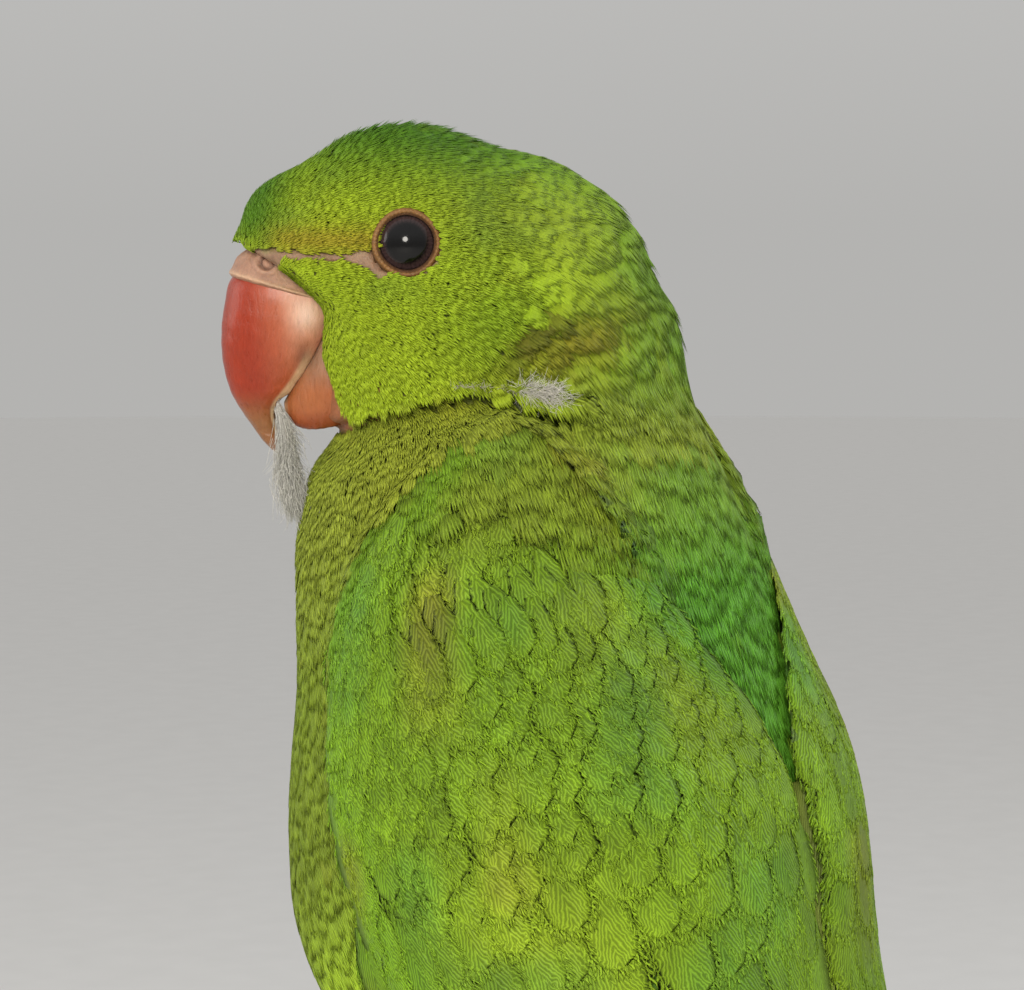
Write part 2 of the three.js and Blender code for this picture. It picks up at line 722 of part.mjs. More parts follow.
const wingSplit = [fromBody(WING_CUT, 0, 0), alongBody];
SIDES.forEach(([label, side]) => {
  const wing = buildWing(side);
  addPiece(`wing_${label}`, behind(wing, ...wingSplit), COLOURS.wing);
  addPiece(`primaries_${label}`, inFrontOf(wing, ...wingSplit), COLOURS.flight);
  addPiece(`eye_${label}`, toSolid(eyeball(side, EYE_RADIUS)), COLOURS.eye, 0.1);
  const foot = buildFoot(side);
  const thigh = buildThigh(side, 0).subtract(perchRoom()).subtract(shankRoom(side));
  addPiece(`thigh_${label}`, thigh, COLOURS.belly);
  addPiece(`foot_${label}`, foot, COLOURS.skin, 0.7);
  TOES.forEach((toe, i) => addPiece(`claw_${label}_${i + 1}`, buildClaw(side, toe), COLOURS.claw, 0.4));
});

// A loose down feather hangs from the bill.
const DOWN_FEATHER = { centre: [2.4, -15.3, -29.2], radii: [0.8, 2.1, 6.6] };
const down = new THREE.SphereGeometry(1, 8, 6).rotateX(Math.PI / 2).scale(...DOWN_FEATHER.radii);
down.rotateX(0.06).translate(...DOWN_FEATHER.centre).applyMatrix4(headFrame);
addPiece('down_feather', toSolid(down).subtract(bill.room), COLOURS.down);

addPiece('perch', buildPerch(), COLOURS.bark, 0.9);
addPiece('stand_base', buildStandBase(), COLOURS.wood, 0.5);
addPiece('stand_rod', buildStandRod(), COLOURS.steel, 0.35, 1);

export default model;
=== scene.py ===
"""A juvenile rose-ringed parakeet on a display stand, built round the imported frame.

Sizes are in millimetres until a mesh is made, in the frame's own axes: the bird faces -Y, its left is +X.
The body is one smooth distance field. The skin is its surface, drawn in by the coat's depth, and every
feather is laid along it.
"""

import math

import bpy
import numpy as np
from mathutils import Matrix, Vector


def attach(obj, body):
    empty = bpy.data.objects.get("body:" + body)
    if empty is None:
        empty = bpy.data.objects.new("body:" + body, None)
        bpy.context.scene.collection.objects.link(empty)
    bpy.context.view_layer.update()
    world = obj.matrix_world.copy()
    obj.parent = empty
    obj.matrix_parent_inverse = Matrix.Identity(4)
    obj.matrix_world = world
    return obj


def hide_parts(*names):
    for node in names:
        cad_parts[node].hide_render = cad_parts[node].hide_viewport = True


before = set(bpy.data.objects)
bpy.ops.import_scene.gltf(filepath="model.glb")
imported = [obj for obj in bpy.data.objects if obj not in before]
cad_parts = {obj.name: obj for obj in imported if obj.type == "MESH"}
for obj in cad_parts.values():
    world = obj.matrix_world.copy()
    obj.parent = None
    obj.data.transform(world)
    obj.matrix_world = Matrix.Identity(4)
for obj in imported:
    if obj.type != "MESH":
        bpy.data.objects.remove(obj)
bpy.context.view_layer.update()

# ---------------------------------------------------------------- driving sizes

MM = 0.001
PERCH_HEIGHT = 158.0
PERCH_RADIUS = 7.5
PERCH_LENGTH = 112.0
PERCH_CLEARANCE = 12.3
HEAD_TURN = math.radians(35)
BODY_PITCH = math.radians(62)
HEAD_CENTRE = np.array([7.0, -22.6, PERCH_HEIGHT + 127])
BODY_ORIGIN = np.array([0.0, -17.6, PERCH_HEIGHT + 78.4])
ALONG_BODY = np.array([0.0, math.cos(BODY_PITCH), -math.sin(BODY_PITCH)])
OUT_OF_BACK = np.array([0.0, math.sin(BODY_PITCH), math.cos(BODY_PITCH)])
SIDEWAYS = np.array([1.0, 0, 0])
EYE_SIDE = 10.6
EYE_RADIUS = 4.9
LID_REACH = 4.3  # from the middle of the eye to where the feathers start
HEAD_REACH = 34  # from between the eyes to where the neck takes over
INNER_HEAD = 24  # nearer than this to their middle, everything is head
SIDES = (("left", 1), ("right", -1))

# ---------------------------------------------------------------- number helpers


def unit(v):
    return v / np.maximum(np.linalg.norm(v, axis=-1, keepdims=True), 1e-9)


def smooth(low, high, x):
    t = np.clip((x - low) / (high - low), 0, 1)
    return t * t * (3 - 2 * t)


def bump(x, middle, width):
    return np.exp(-(((x - middle) / width) ** 2))


def table(rows):
    """A smooth curve through rows of [position, value, value, ...], giving all its values at once."""
    rows = np.array(rows, float)
    x, y = rows[:, 0], rows[:, 1:]
    slope = np.zeros_like(y)
    slope[1:-1] = (y[2:] - y[:-2]) / (x[2:] - x[:-2])[:, None]
    slope[0] = (y[1] - y[0]) / (x[1] - x[0])
    slope[-1] = (y[-1] - y[-2]) / (x[-1] - x[-2])

    def at(q):
        q = np.clip(q, x[0], x[-1])
        i = np.clip(np.searchsorted(x, q, side="right") - 1, 0, len(x) - 2)
        step = (x[i + 1] - x[i])[..., None]
        t = (q - x[i])[..., None] / step
        t2, t3 = t * t, t * t * t
        near = (2 * t3 - 3 * t2 + 1) * y[i] + (t3 - 2 * t2 + t) * step * slope[i]
        far = (3 * t2 - 2 * t3) * y[i + 1] + (t3 - t2) * step * slope[i + 1]
        return near + far

    return at


def through(points):
    """A smooth curve through points, by the share of the way from the first to the last."""
    return table([(k / (len(points) - 1), *p) for k, p in enumerate(points)])


def circle(count):
    """Even angles round a full turn."""
    return np.linspace(0, 2 * np.pi, count, endpoint=False)


def blend(a, b, width):
    """Smooth union of two distances."""
    h = np.clip(0.5 + 0.5 * (b - a) / width, 0, 1)
    return b * (1 - h) + a * h - width * h * (1 - h)


def carve(a, b, width):
    """Smooth intersection of two distances."""
    return -blend(-a, -b, width)


def ellipsoid(p, centre, radii):
    scaled = (p - centre) / radii
    k0 = np.linalg.norm(scaled, axis=-1)
    k1 = np.linalg.norm(scaled / radii, axis=-1) + 1e-9
    return k0 * (k0 - 1) / k1


def capsule(p, a, b, radius_a, radius_b):
    t = np.clip((p - a) @ (b - a) / ((b - a) @ (b - a)), 0, 1)
    return np.linalg.norm(p - a - t[..., None] * (b - a), axis=-1) - (radius_a + (radius_b - radius_a) * t)


def lattice_noise(p, size, seed):
    """Smooth noise from -1 to 1 at points in millimetres, on a lattice of that size."""
    q = p / size
    low = np.floor(q).astype(np.int64)
    f = q - low
    f = f * f * (3 - 2 * f)
    total = 0
    for corner in range(8):
        bits = np.array([corner & 1, corner >> 1 & 1, corner >> 2 & 1])
        at = low + bits
        key = at[..., 0] * 73856093 ^ at[..., 1] * 19349663 ^ at[..., 2] * 83492791 ^ seed * 2654435761
        key = (key ^ (key >> 13)) * 1274126177 & 0xFFFFFFFF
        key = (key ^ (key >> 16)) * 2246822519 & 0xFFFFFFFF
        value = (key & 0xFFFF) / 32767.5 - 1
        total = total + value * np.prod(np.where(bits, f, 1 - f), axis=-1)
    return total


# ---------------------------------------------------------------- frames of the head and the body

TURN_COS, TURN_SIN = math.cos(HEAD_TURN), math.sin(HEAD_TURN)
HEAD_AXES = np.array([[TURN_COS, TURN_SIN, 0], [-TURN_SIN, TURN_COS, 0], [0, 0, 1]])


def on_left(p):
    """Points mirrored to the bird's left."""
    return np.concatenate([np.abs(p[..., :1]), p[..., 1:]], -1)


def to_head(p):
    return (p - HEAD_CENTRE) @ HEAD_AXES.T


def from_head(q):
    return np.asarray(q, float) @ HEAD_AXES + HEAD_CENTRE


def to_body(p):
    """Position down the back, sideways and out of the back."""
    q = p - BODY_ORIGIN
    return q @ ALONG_BODY, q[..., 0], q @ OUT_OF_BACK


def from_body(s, x, n):
    s, x, n = np.broadcast_arrays(np.asarray(s, float), x, n)
    return BODY_ORIGIN + s[..., None] * ALONG_BODY + n[..., None] * OUT_OF_BACK + x[..., None] * SIDEWAYS


def eye_offset(q):
    """Distance from the line through both eyes, in the head's frame."""
    return np.hypot(q[..., 1], q[..., 2])


# ---------------------------------------------------------------- shape of the body

# Height above the perch; front and back, measured forwards from the perch's axis; half width.
trunk_station = table(
    [
        [-40, -41, -46, 3.5],
        [-30, -35.5, -44.6, 7],
        [-19, -29, -43.6, 11],
        [-8, -20.5, -42.5, 15.5],
        [2, -12, -41, 20.5],
        [10, 0, -39.5, 24.5],
        [18, 19, -38, 27.5],
        [27, 33, -36.5, 29.5],
        [38, 39.6, -34, 31],
        [50, 40.8, -32.3, 31.5],
        [60, 40.2, -30, 31.3],
        [70, 39.3, -26.7, 30.2],
        [80, 39.8, -23.6, 28.8],
        [90, 40.3, -20.1, 26.6],
        [104, 36.6, -13.9, 22.3],
        [114, 30, -8.4, 18],
        [126, 22, -3, 12],
    ]
)
TRUNK_LOW, TRUNK_HIGH = -40, 126

# Where the feathers stop against the bill, seen from the side: height, and distance behind the eye.
feather_line = table(
    [
        [-29, -42],
        [-27, -24],
        [-25.5, -13.5],
        [-24, -9.5],
        [-22, -6.4],
        [-19.8, -8],
        [-16, -9.9],
        [-12.2, -10.6],
        [-8.4, -11],
        [-5.3, -14],
        [-2.6, -17.6],
        [-0.7, -20.8],
        [0.5, -24.5],
        [1.6, -42],
    ]
)
LINE_LOW, LINE_HIGH = -29, 1.6

# Feathered base of the tail: position down the back, middle, half width, half thickness.
TAIL_BASE_START, TAIL_BASE_END = 70, 150
tail_base = table(
    [
        [TAIL_BASE_START, 3, 17, 14],
        [88, 5, 14, 10],
        [103, 5.2, 12.5, 6.4],
        [118, 4.6, 11.2, 3.7],
        [128, 4, 10.6, 2.5],
        [TAIL_BASE_END, 2.4, 10, 2],
    ]
)


def capped(side, beyond):
    """Distance beside a body that ends flat: beyond is how far a point lies past its end."""
    return np.where(beyond > 0, np.hypot(np.maximum(side, 0), beyond), side)


def trunk_distance(p):
    height = p[..., 2] - PERCH_HEIGHT
    front, back, width = np.moveaxis(trunk_station(height), -1, 0)
    depth = (front - back) / 2
    k = np.hypot((-p[..., 1] - (front + back) / 2) / depth, p[..., 0] / width)
    side = (k - 1) * np.minimum(depth, width) * 0.9
    return capped(side, np.maximum(height - TRUNK_HIGH, TRUNK_LOW - height))


def behind_feather_line(q):
    """Positive on the bill's side of the line where the feathers stop, in the head's frame."""
    side, z = np.abs(q[..., 0]), q[..., 2]
    swept = 0.05 * np.maximum(side - 5.5, 0) ** 2
    hollow = 1.6 * (1 - smooth(6.5, 9.5, side)) * (1 - smooth(-18, -14, z)) * smooth(-24.5, -23, z)
    return feather_line(z)[..., 0] + swept + hollow - q[..., 1]


def head_hollows(q):
    """How far the head lies inside its ellipsoids at the brow, crown and nape, and round each eye."""
    y, z = q[..., 1], q[..., 2]
    brow = 1.4 * bump(y, -14.5, 6) * bump(z, 11.5, 4.5) + 0.8 * bump(y, -22, 4) * bump(z, 2.5, 3)
    crown = 1.9 * bump(y, 11.5, 7.5) * bump(z, 13.5, 4.5) - 1.1 * bump(y, 27, 5) * bump(z, 6, 3.5)
    nape = 1.0 * bump(y, 31, 8) * bump(z, -4.2, 4) - 0.9 * bump(y, 30, 8) * bump(z, -15.5, 5)
    dish = np.clip(0.55 - 0.09 * z, 0, 1.1) * (1 - smooth(4.4, 9.5, eye_offset(q)))
    return brow + crown + nape + dish * smooth(4, 8, np.abs(q[..., 0]))


def head_distance(p):
    q = to_head(p)
    skull = ellipsoid(q, np.array([0, 1.6, -2]), np.array([15.3, 25.3, 17.6]))
    cheeks = ellipsoid(q, np.array([0, 4.5, -9.5]), np.array([16.5, 16, 13.5]))
    nape = ellipsoid(q, np.array([0, 17, -11]), np.array([13.5, 15.6, 12.5]))
    whole = blend(blend(skull, cheeks, 5), nape, 6) + head_hollows(q)
    beside_bill = (q[..., 2] >= LINE_LOW) & (q[..., 2] <= LINE_HIGH)
    return np.where(beside_bill, carve(whole, behind_feather_line(q) * 0.7, 1.2), whole)


def tail_base_distance(p):
    s, x, n = to_body(p)
    middle, width, thickness = np.moveaxis(tail_base(s), -1, 0)
    k = np.hypot(x / width, (n - middle) / thickness)
    side = (k - 1) * np.minimum(width, thickness) * 0.9
    return capped(side, np.maximum(s - TAIL_BASE_END, TAIL_BASE_START - s))


def body_distance(p):
    trunk = blend(trunk_distance(p), tail_base_distance(p), 8)
    perch = np.hypot(p[..., 1], p[..., 2] - PERCH_HEIGHT)
    return blend(head_distance(p), carve(trunk, PERCH_CLEARANCE - perch, 3), 9)


THIGH_CENTRE, THIGH_RADII = np.array([14.5, -3.5, PERCH_HEIGHT + 25]), np.array([9.3, 12, 12])
LEG_SIDE = 13.5
FOOT_TOP, FEET_WIDTH = 17.5, 48  # the bare part, above the perch's axis
TOE_RING = PERCH_RADIUS + 2.1
# Sideways start and end, sweep in degrees, root radius, tip radius. Two toes go forwards, two back.
TOES = (
    (-2, -5.5, 88, 1.7, 1.25),
    (2, 5.5, 118, 1.8, 1.3),
    (-2, -5, -66, 1.6, 1.25),
    (2, 5, -104, 1.8, 1.3),
)
CLAW_SWEEP, CLAW_SIDES = 42, 20


def thigh_distance(p):
    return ellipsoid(on_left(p), THIGH_CENTRE, THIGH_RADII)


def round_perch(x, degrees, radius):
    """Points round the perch's axis, turned forwards from its top."""
    angle = np.radians(degrees)
    forwards, height = radius * np.sin(angle), radius * np.cos(angle)
    return np.stack(np.broadcast_arrays(x, -forwards, PERCH_HEIGHT + height), -1)


def toe_line(toe, t):
    """Middle of a left toe and its radius, at shares of its length."""
    start, end, sweep, root, tip = toe
    middle = round_perch(LEG_SIDE + start + (end - start) * t, sweep * t, TOE_RING)
    knuckles = 0.12 * np.cos(2 * np.pi * 3 * t)
    return middle, root + (tip - root) * t + knuckles


def shank_line():
    """Points up the left foot from the toes to the thigh, and the radius at each."""
    base = np.array([LEG_SIDE, 0, PERCH_HEIGHT + TOE_RING])
    steps = np.array([[0, 0, -0.6], [0, 0.3, 1.5], [0.2, 1.2, 4.5], [0.4, 2.4, 8], [0.6, 3.6, 13]])
    return base + steps, np.array([2.6, 2.5, 2.1, 2.3, 3.2])


def foot_distance(p):
    q = on_left(p)
    points, radii = shank_line()
    found = capsule(q, points[0], points[1], radii[0], radii[1])
    lines = [(points[1:], radii[1:], 0.6)]
    lines += [(*toe_line(toe, np.linspace(0, 1, 10)), 0.35) for toe in TOES]
    for middle, radius, width in lines:
        for i in range(len(middle) - 1):
            found = blend(found, capsule(q, middle[i], middle[i + 1], radius[i], radius[i + 1]), width)
    return found


# Height of the crease under the cheek, by the distance behind the eye.
crease = table(
    [[-12, -23], [-6.5, -21.4], [-1, -19.7], [4, -18.5], [9, -17.8], [14.5, -18.1], [20, -19.4], [27, -22]]
)


def below_crease(q):
    return crease(q[..., 1])[..., 0] - q[..., 2]


def behind_fold(q):
    """How far a point lies behind the ruffled fold where the ear's feathers meet the neck's."""
    ruffle = 0.4 * np.sin(1.5 * q[..., 2]) + 0.2 * np.sin(3.7 * q[..., 2] + 1)
    return (q[..., 1] - 17.9) * 0.65 - (q[..., 2] + 10.3) * 0.76 + ruffle


def cheek_step(p):
    """How far the neck's coat lies below the cheek's, under the crease, and behind the ear's fold."""
    q = to_head(p)
    below = below_crease(q)
    ends = smooth(-15, -9, q[..., 1]) * (1 - smooth(17, 26, q[..., 1]))
    step = 1.7 * ends * smooth(0, 1.2, below) * (1 - smooth(2, 9, below))
    behind = behind_fold(q)
    along = smooth(-18, -14, q[..., 2]) * (1 - smooth(-7, -4, q[..., 2])) * smooth(6, 10, np.abs(q[..., 0]))
    return step + 1.6 * along * smooth(-0.3, 0.8, behind) * (1 - smooth(1.5, 6.5, behind))


def coat_distance(p):
    """Surface of the plumage without the wings."""
    return blend(body_distance(p) + cheek_step(p), thigh_distance(p), 3)


def gradient(field, p, step=0.15):
    """Unit outward normal, from four samples at the corners of a tetrahedron."""
    corners = np.array([[1, -1, -1], [-1, -1, 1], [-1, 1, -1], [1, 1, 1]], float)
    return unit(sum(corner * field(p + corner * step)[..., None] for corner in corners))


def settle(field, p, level=0.0, rounds=5, reach=1.5):
    """Moves points onto a level of the field along its normal."""
    for _ in range(rounds):
        normal = gradient(field, p)
        here = field(p) - level
        ahead = field(p + normal * 0.2) - level
        slope = np.clip((ahead - here) / 0.2, 0.35, 1.5)
        p = p - normal * np.clip(here / slope, -reach, reach)[..., None]
    return p


# ---------------------------------------------------------------- folded wings

# Position down the back, angles of the lower and upper edges round from the belly's middle, thickness.
wing_station = table(
    [
        [-15.5, 135, 147, 1.2],
        [-13, 122, 151, 2.4],
        [-10, 110, 152.5, 3.6],
        [-6.5, 101, 154, 4.6],
        [-2.5, 93.5, 155.5, 5.3],
        [2, 87, 157, 5.8],
        [7, 82, 159, 5.8],
        [13, 77.5, 161, 5.8],
        [20, 74.5, 166, 5.6],
        [28, 72.5, 173, 5.4],
        [36, 71.5, 177, 5.2],
        [48, 72.5, 177.5, 4.8],
        [62, 77, 177.5, 4.2],
        [76, 84, 177.5, 3.6],
        [90, 94, 177.5, 2.9],
        [104, 107, 177.5, 2.3],
        [118, 121, 177, 1.9],
        [131, 136, 176, 1.5],
        [141, 149, 174, 1.2],
        [147, 159, 170, 0.9],
    ]
)
WING_START, WING_END = -15.5, 147
WING_LIFT, WING_EDGE = 0.75, 0.6
MAP_S = np.arange(-26.0, 156.0, 1.0)
MAP_TURN = 2.0
MAP_ANGLE = np.arange(56.0, 192.0, MAP_TURN)


def wing_ray(side, degrees):
    """Direction out of the line down the back, at an angle round from the belly's middle."""
    angle = np.radians(degrees)
    return side * np.sin(angle)[..., None] * SIDEWAYS - np.cos(angle)[..., None] * OUT_OF_BACK


def outermost(field, origin, ray, reach=70.0):
    """How far out along each ray the surface lies."""
    t = np.full(origin.shape[:-1], reach)
    for _ in range(60):
        t = np.maximum(t - field(origin + ray * t[..., None]) * 0.75, 0)
    return t


def radius_map(side):
    """Radius of the body round the line down the back, by position and angle."""
    s, degrees = np.meshgrid(MAP_S, MAP_ANGLE, indexing="ij")
    return outermost(body_distance, from_body(s, 0, 0), wing_ray(side, degrees))


RADIUS = {side: radius_map(side) for _, side in SIDES}


def body_radius(side, s, degrees):
    """The radius map's value between its nodes."""
    i = np.clip(s - MAP_S[0], 0, len(MAP_S) - 1.001)
    j = np.clip((degrees - MAP_ANGLE[0]) / MAP_TURN, 0, len(MAP_ANGLE) - 1.001)
    i0, j0 = i.astype(int), j.astype(int)
    fi, fj = i - i0, j - j0
    grid = RADIUS[side]
    low = grid[i0, j0] * (1 - fi) + grid[i0 + 1, j0] * fi
    high = grid[i0, j0 + 1] * (1 - fi) + grid[i0 + 1, j0 + 1] * fi
    return low * (1 - fj) + high * fj


def wing_share(s, degrees):
    """Where a point lies between the wing's lower edge (0) and upper edge (1), and the thickness there."""
    lower, upper, thick = np.moveaxis(wing_station(s), -1, 0)
    u = (degrees - lower) / (upper - lower)
    arch = np.sin(np.pi * np.clip(u, 0.0, 1.0)) ** 0.5
    # the wing rises gently out of the shoulder, and its inner edge slips in under the mantle
    slim = smooth(0.5, 1, u) * (1 - smooth(16, 42, s))
    rising = 0.25 + 0.75 * smooth(0, 10 + 13 * smooth(0.5, 1, u), s - WING_START + 1)
    thickness = WING_EDGE + (thick - WING_EDGE) * arch * (1 - 0.7 * slim) - 0.2 * slim
    return u, (WING_LIFT + thickness) * rising - WING_LIFT


def wing_point(side, s, degrees, height):
    """A point of the wing's outer surface, or that far above it."""
    thick = wing_share(s, degrees)[1]
    radius = body_radius(side, s, degrees) + WING_LIFT + thick + height
    return from_body(s, 0, 0) + wing_ray(side, degrees) * radius[..., None]


def wing_angle(s, u):
    lower, upper, _ = np.moveaxis(wing_station(s), -1, 0)
    return lower + (upper - lower) * u


def wing_position(p):
    """Position down the back of points in space, their angle round its line and how far out they are."""
    s, x, n = to_body(p)
    return s, np.degrees(np.arctan2(np.abs(x), -n)), np.hypot(x, n)


def inner_radius(p, s, degrees):
    """Radius of the body under a point, on the point's own side."""
    return np.where(p[..., 0] > 0, body_radius(1, s, degrees), body_radius(-1, s, degrees))


def wing_flesh_distance(p):
    """A pad under the coverts, so that no hollow shows between them."""
    s, degrees, r = wing_position(p)
    u, thick = wing_share(s, degrees)
    inner = inner_radius(p, s, degrees)
    below = 1.1 + 0.8 * smooth(0, 14, s) + 6 * smooth(54, 84, s)
    outside = r - (inner + WING_LIFT + thick - below)
    sideways = np.maximum(-u, u - 1) * 60 + 2.5
    lengthways = np.maximum(WING_START - s, s - 96)
    return np.maximum(np.maximum(outside, sideways), lengthways)


# ---------------------------------------------------------------- skin

SKIN_END = 131  # down the back, where the tail's feathers take over
SKIN_CELL, QUICK_SKIN_CELL = 1.0, 2.0


def loral_share(q):
    """1 on the bare skin before and below the eye and on the stripe that leads to the cere."""
    y, z = q[..., 1], q[..., 2]
    patch = bump(y, -3.8, 2.2) * bump(z, -3.1, 1.4)
    width = 0.75 + 0.6 * (1 - smooth(-15.5, -12, y)) + 1.2 * smooth(-10, -4.5, y)
    stripe = bump(z, -2.1 - 0.03 * y, width) * smooth(-19, -16, y) * (1 - smooth(-4.5, -2, y))
    return np.clip(np.maximum(patch * 1.5, stripe * 1.1), 0, 1) * (np.abs(q[..., 0]) > 5)


def coat_depth(p):
    """How far the skin lies inside the plumage: thin on the face, next to nothing where it is bare."""
    q = to_head(p)
    reach = np.linalg.norm(q, axis=-1)
    full = 1.3 + 1.5 * smooth(22, 45, reach)
    near_eye = smooth(LID_REACH, 6.2, eye_offset(q))
    eyelid = (1 - smooth(5.6, 7.5, eye_offset(q))) * (reach < HEAD_REACH) * (np.abs(q[..., 0]) > 6)
    bare = smooth(0.2, 4.5, -behind_feather_line(q))
    bare = np.where(q[..., 2] > LINE_HIGH, 1, bare)
    covered = np.where(reach < HEAD_REACH, bare * (1 - loral_share(q) * near_eye), 1)
    depth = 0.3 + (full - 0.3) * covered
    return depth + (0.45 - depth) * eyelid


def skin_distance(p):
    """The plumage drawn in by its depth, with eye sockets and the flesh of the wings and feet."""
    flesh = coat_distance(p) + coat_depth(p)
    q = to_head(p)
    for _, side in SIDES:
        socket = np.linalg.norm(q - [side * EYE_SIDE, 0, 0], axis=-1) - (EYE_RADIUS + 0.15)
        funnel = np.maximum(eye_offset(q) - LID_REACH, EYE_SIDE - side * q[..., 0])
        flesh = np.maximum(flesh, -np.minimum(socket, funnel))
    s, _, _ = to_body(p)
    flesh = np.maximum(flesh, s - SKIN_END)
    flesh = np.minimum(flesh, wing_flesh_distance(p))
    low = (p[..., 2] < PERCH_HEIGHT + 24) & (np.abs(p[..., 1]) < 17)
    if low.any():
        flesh[low] = blend(flesh[low], foot_distance(p[low]), 1.2)
    return flesh


def surface_nets(field, low, high, cell):
    """A closed mesh of quads where the field changes sign on a grid."""
    low = np.array(low, float)
    shape = np.ceil((np.array(high) - low) / cell).astype(int) + 1
    rows = []
    for i in range(shape[0]):
        j, k = np.meshgrid(np.arange(shape[1]), np.arange(shape[2]), indexing="ij")
        nodes = low + np.stack([np.full_like(j, i), j, k], -1) * cell
        rows.append(field(nodes.reshape(-1, 3)).reshape(j.shape))
    values = np.stack(rows)
    inside = values < 0
    cells = tuple(n - 1 for n in shape)
    corners = [(a, b, c) for a in (0, 1) for b in (0, 1) for c in (0, 1)]

    def shifted(grid, corner):
        return grid[tuple(slice(o, o + n) for o, n in zip(corner, cells))]

    count = sum(shifted(inside, c).astype(np.int8) for c in corners)
    where = np.argwhere((count > 0) & (count < 8))
    total = np.zeros((len(where), 3))
    hits = np.zeros(len(where))
    for a in corners:
        for axis in range(3):
            if a[axis]:
                continue
            b = tuple(c + (k == axis) for k, c in enumerate(a))
            va = values[tuple((where + a).T)]
            vb = values[tuple((where + b).T)]
            crossing = (va < 0) != (vb < 0)
            share = np.where(crossing, va / np.where(crossing, va - vb, 1), 0)
            place = np.array(a) + share[:, None] * (np.array(b) - a)
            total += place * crossing[:, None]
            hits += crossing
    points = low + (where + total / hits[:, None]) * cell
    index = np.full(cells, -1)
    index[tuple(where.T)] = np.arange(len(where))
    quads = []
    for d in range(3):
        e, f = (d + 1) % 3, (d + 2) % 3
        inner = [slice(1, n - 1) for n in shape]
        inner[d] = slice(0, shape[d] - 1)
        ahead = list(inner)
        ahead[d] = slice(1, shape[d])
        change = np.argwhere(inside[tuple(inner)] != inside[tuple(ahead)])
        change += [0 if k == d else 1 for k in range(3)]
        step_e, step_f = np.eye(3, dtype=int)[e], np.eye(3, dtype=int)[f]
        around = [change - step_e - step_f, change - step_f, change, change - step_e]
        quad = np.stack([index[tuple(c.T)] for c in around], -1)
        outward = inside[tuple(change.T)]
        quads.append(np.where(outward[:, None], quad, quad[:, ::-1]))
    return points, np.concatenate(quads)


# ---------------------------------------------------------------- meshes


def add_piece(name, points, faces, material, tint=None, vane=None, bake=None):
    """A smooth-shaded mesh object from points in millimetres and arrays of triangles or quads."""
    faces = [np.asarray(f, np.int32) for f in faces if len(f)]
    corners = np.concatenate([f.ravel() for f in faces])
    sizes = np.concatenate([np.full(len(f), f.shape[1]) for f in faces])
    starts = np.cumsum(sizes) - sizes
    mesh = bpy.data.meshes.new(name)
    mesh.vertices.add(len(points))
    mesh.vertices.foreach_set("co", (points * MM).astype(np.float32).ravel())
    mesh.loops.add(len(corners))
    mesh.loops.foreach_set("vertex_index", corners)
    mesh.polygons.add(len(sizes))
    mesh.polygons.foreach_set("loop_start", starts.astype(np.int32))
    mesh.polygons.foreach_set("use_smooth", np.ones(len(sizes), bool))
    mesh.update(calc_edges=True)
    if tint is not None:
        if tint.shape[1] == 3:
            tint = np.concatenate([tint, np.ones((len(tint), 1))], 1)
        layer = mesh.attributes.new("tint", "FLOAT_COLOR", "POINT")
        layer.data.foreach_set("color", tint.astype(np.float32).ravel())
    if vane is not None:
        layer = mesh.attributes.new("vane", "FLOAT_VECTOR", "POINT")
        layer.data.foreach_set("vector", vane.astype(np.float32).ravel())
    if bake is not None:
        layer = mesh.uv_layers.new(name="OFBake")
        layer.data.foreach_set("uv", bake[corners].astype(np.float32).ravel())
    mesh.materials.append(material)
    piece = bpy.data.objects.new(name, mesh)
    bpy.context.scene.collection.objects.link(piece)
    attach(piece, "root")
    return piece


def ring_quads(rings, count):
    """Quads between rings of equal length."""
    i, k = np.meshgrid(np.arange(rings - 1), np.arange(count), indexing="ij")
    a, b = i * count + k, i * count + (k + 1) % count
    return np.stack([a, b, b + count, a + count], -1).reshape(-1, 4)


def ring_faces(rings, count):
    """Quads between rings, with a fan to one more point at each end."""
    k = np.arange(count)
    after = (k + 1) % count
    top = (rings - 1) * count
    near = np.stack([np.full(count, rings * count), after, k], -1)
    far = np.stack([np.full(count, rings * count + 1), top + k, top + after], -1)
    return [ring_quads(rings, count), near, far]


def facing_out(points, faces):
    """The same faces, turned over if the mesh encloses a negative volume."""
    total = 0
    for f in faces:
        for k in range(1, f.shape[1] - 1):
            a, b, c = points[f[:, 0]], points[f[:, k]], points[f[:, k + 1]]
            total += np.einsum("ij,ij->i", a, np.cross(b, c)).sum()
    return [f[:, ::-1] for f in faces] if total < 0 else faces


def copies(faces, count, corners):
    """Faces of that many copies of a mesh, which has that many points."""
    offset = (np.arange(count) * corners)[:, None, None]
    return [(f[None] + offset).reshape(-1, f.shape[1]) for f in faces]


def with_ends(rings):
    """Values along rings as one list, with the mean of the first and of the last ring after them."""
    ends = np.stack([rings[0].mean(0), rings[-1].mean(0)])
    return np.concatenate([rings.reshape(-1, 3), ends])


def closed_rings(rings):
    """Points and faces of a closed mesh through an array of rings."""
    rings = np.asarray(rings, float)
    points = with_ends(rings)
    return points, facing_out(points, ring_faces(rings.shape[0], rings.shape[1]))


def rod(points, radii, sides, squash=1.0):
    """Rings of a round rod along a line of points."""
    points, radii = np.asarray(points, float), np.asarray(radii, float)
    along = unit(np.gradient(points, axis=0))
    across = np.where(np.abs(along[:, :1]) > 0.9, [[0.0, 0, 1]], [[1.0, 0, 0]])
    u = unit(np.cross(along, across))
    v = np.cross(along, u)
    turn = circle(sides)
    ring = np.cos(turn)[:, None] * u[:, None] * squash + np.sin(turn)[:, None] * v[:, None]
    return points[:, None] + ring * radii[:, None, None]


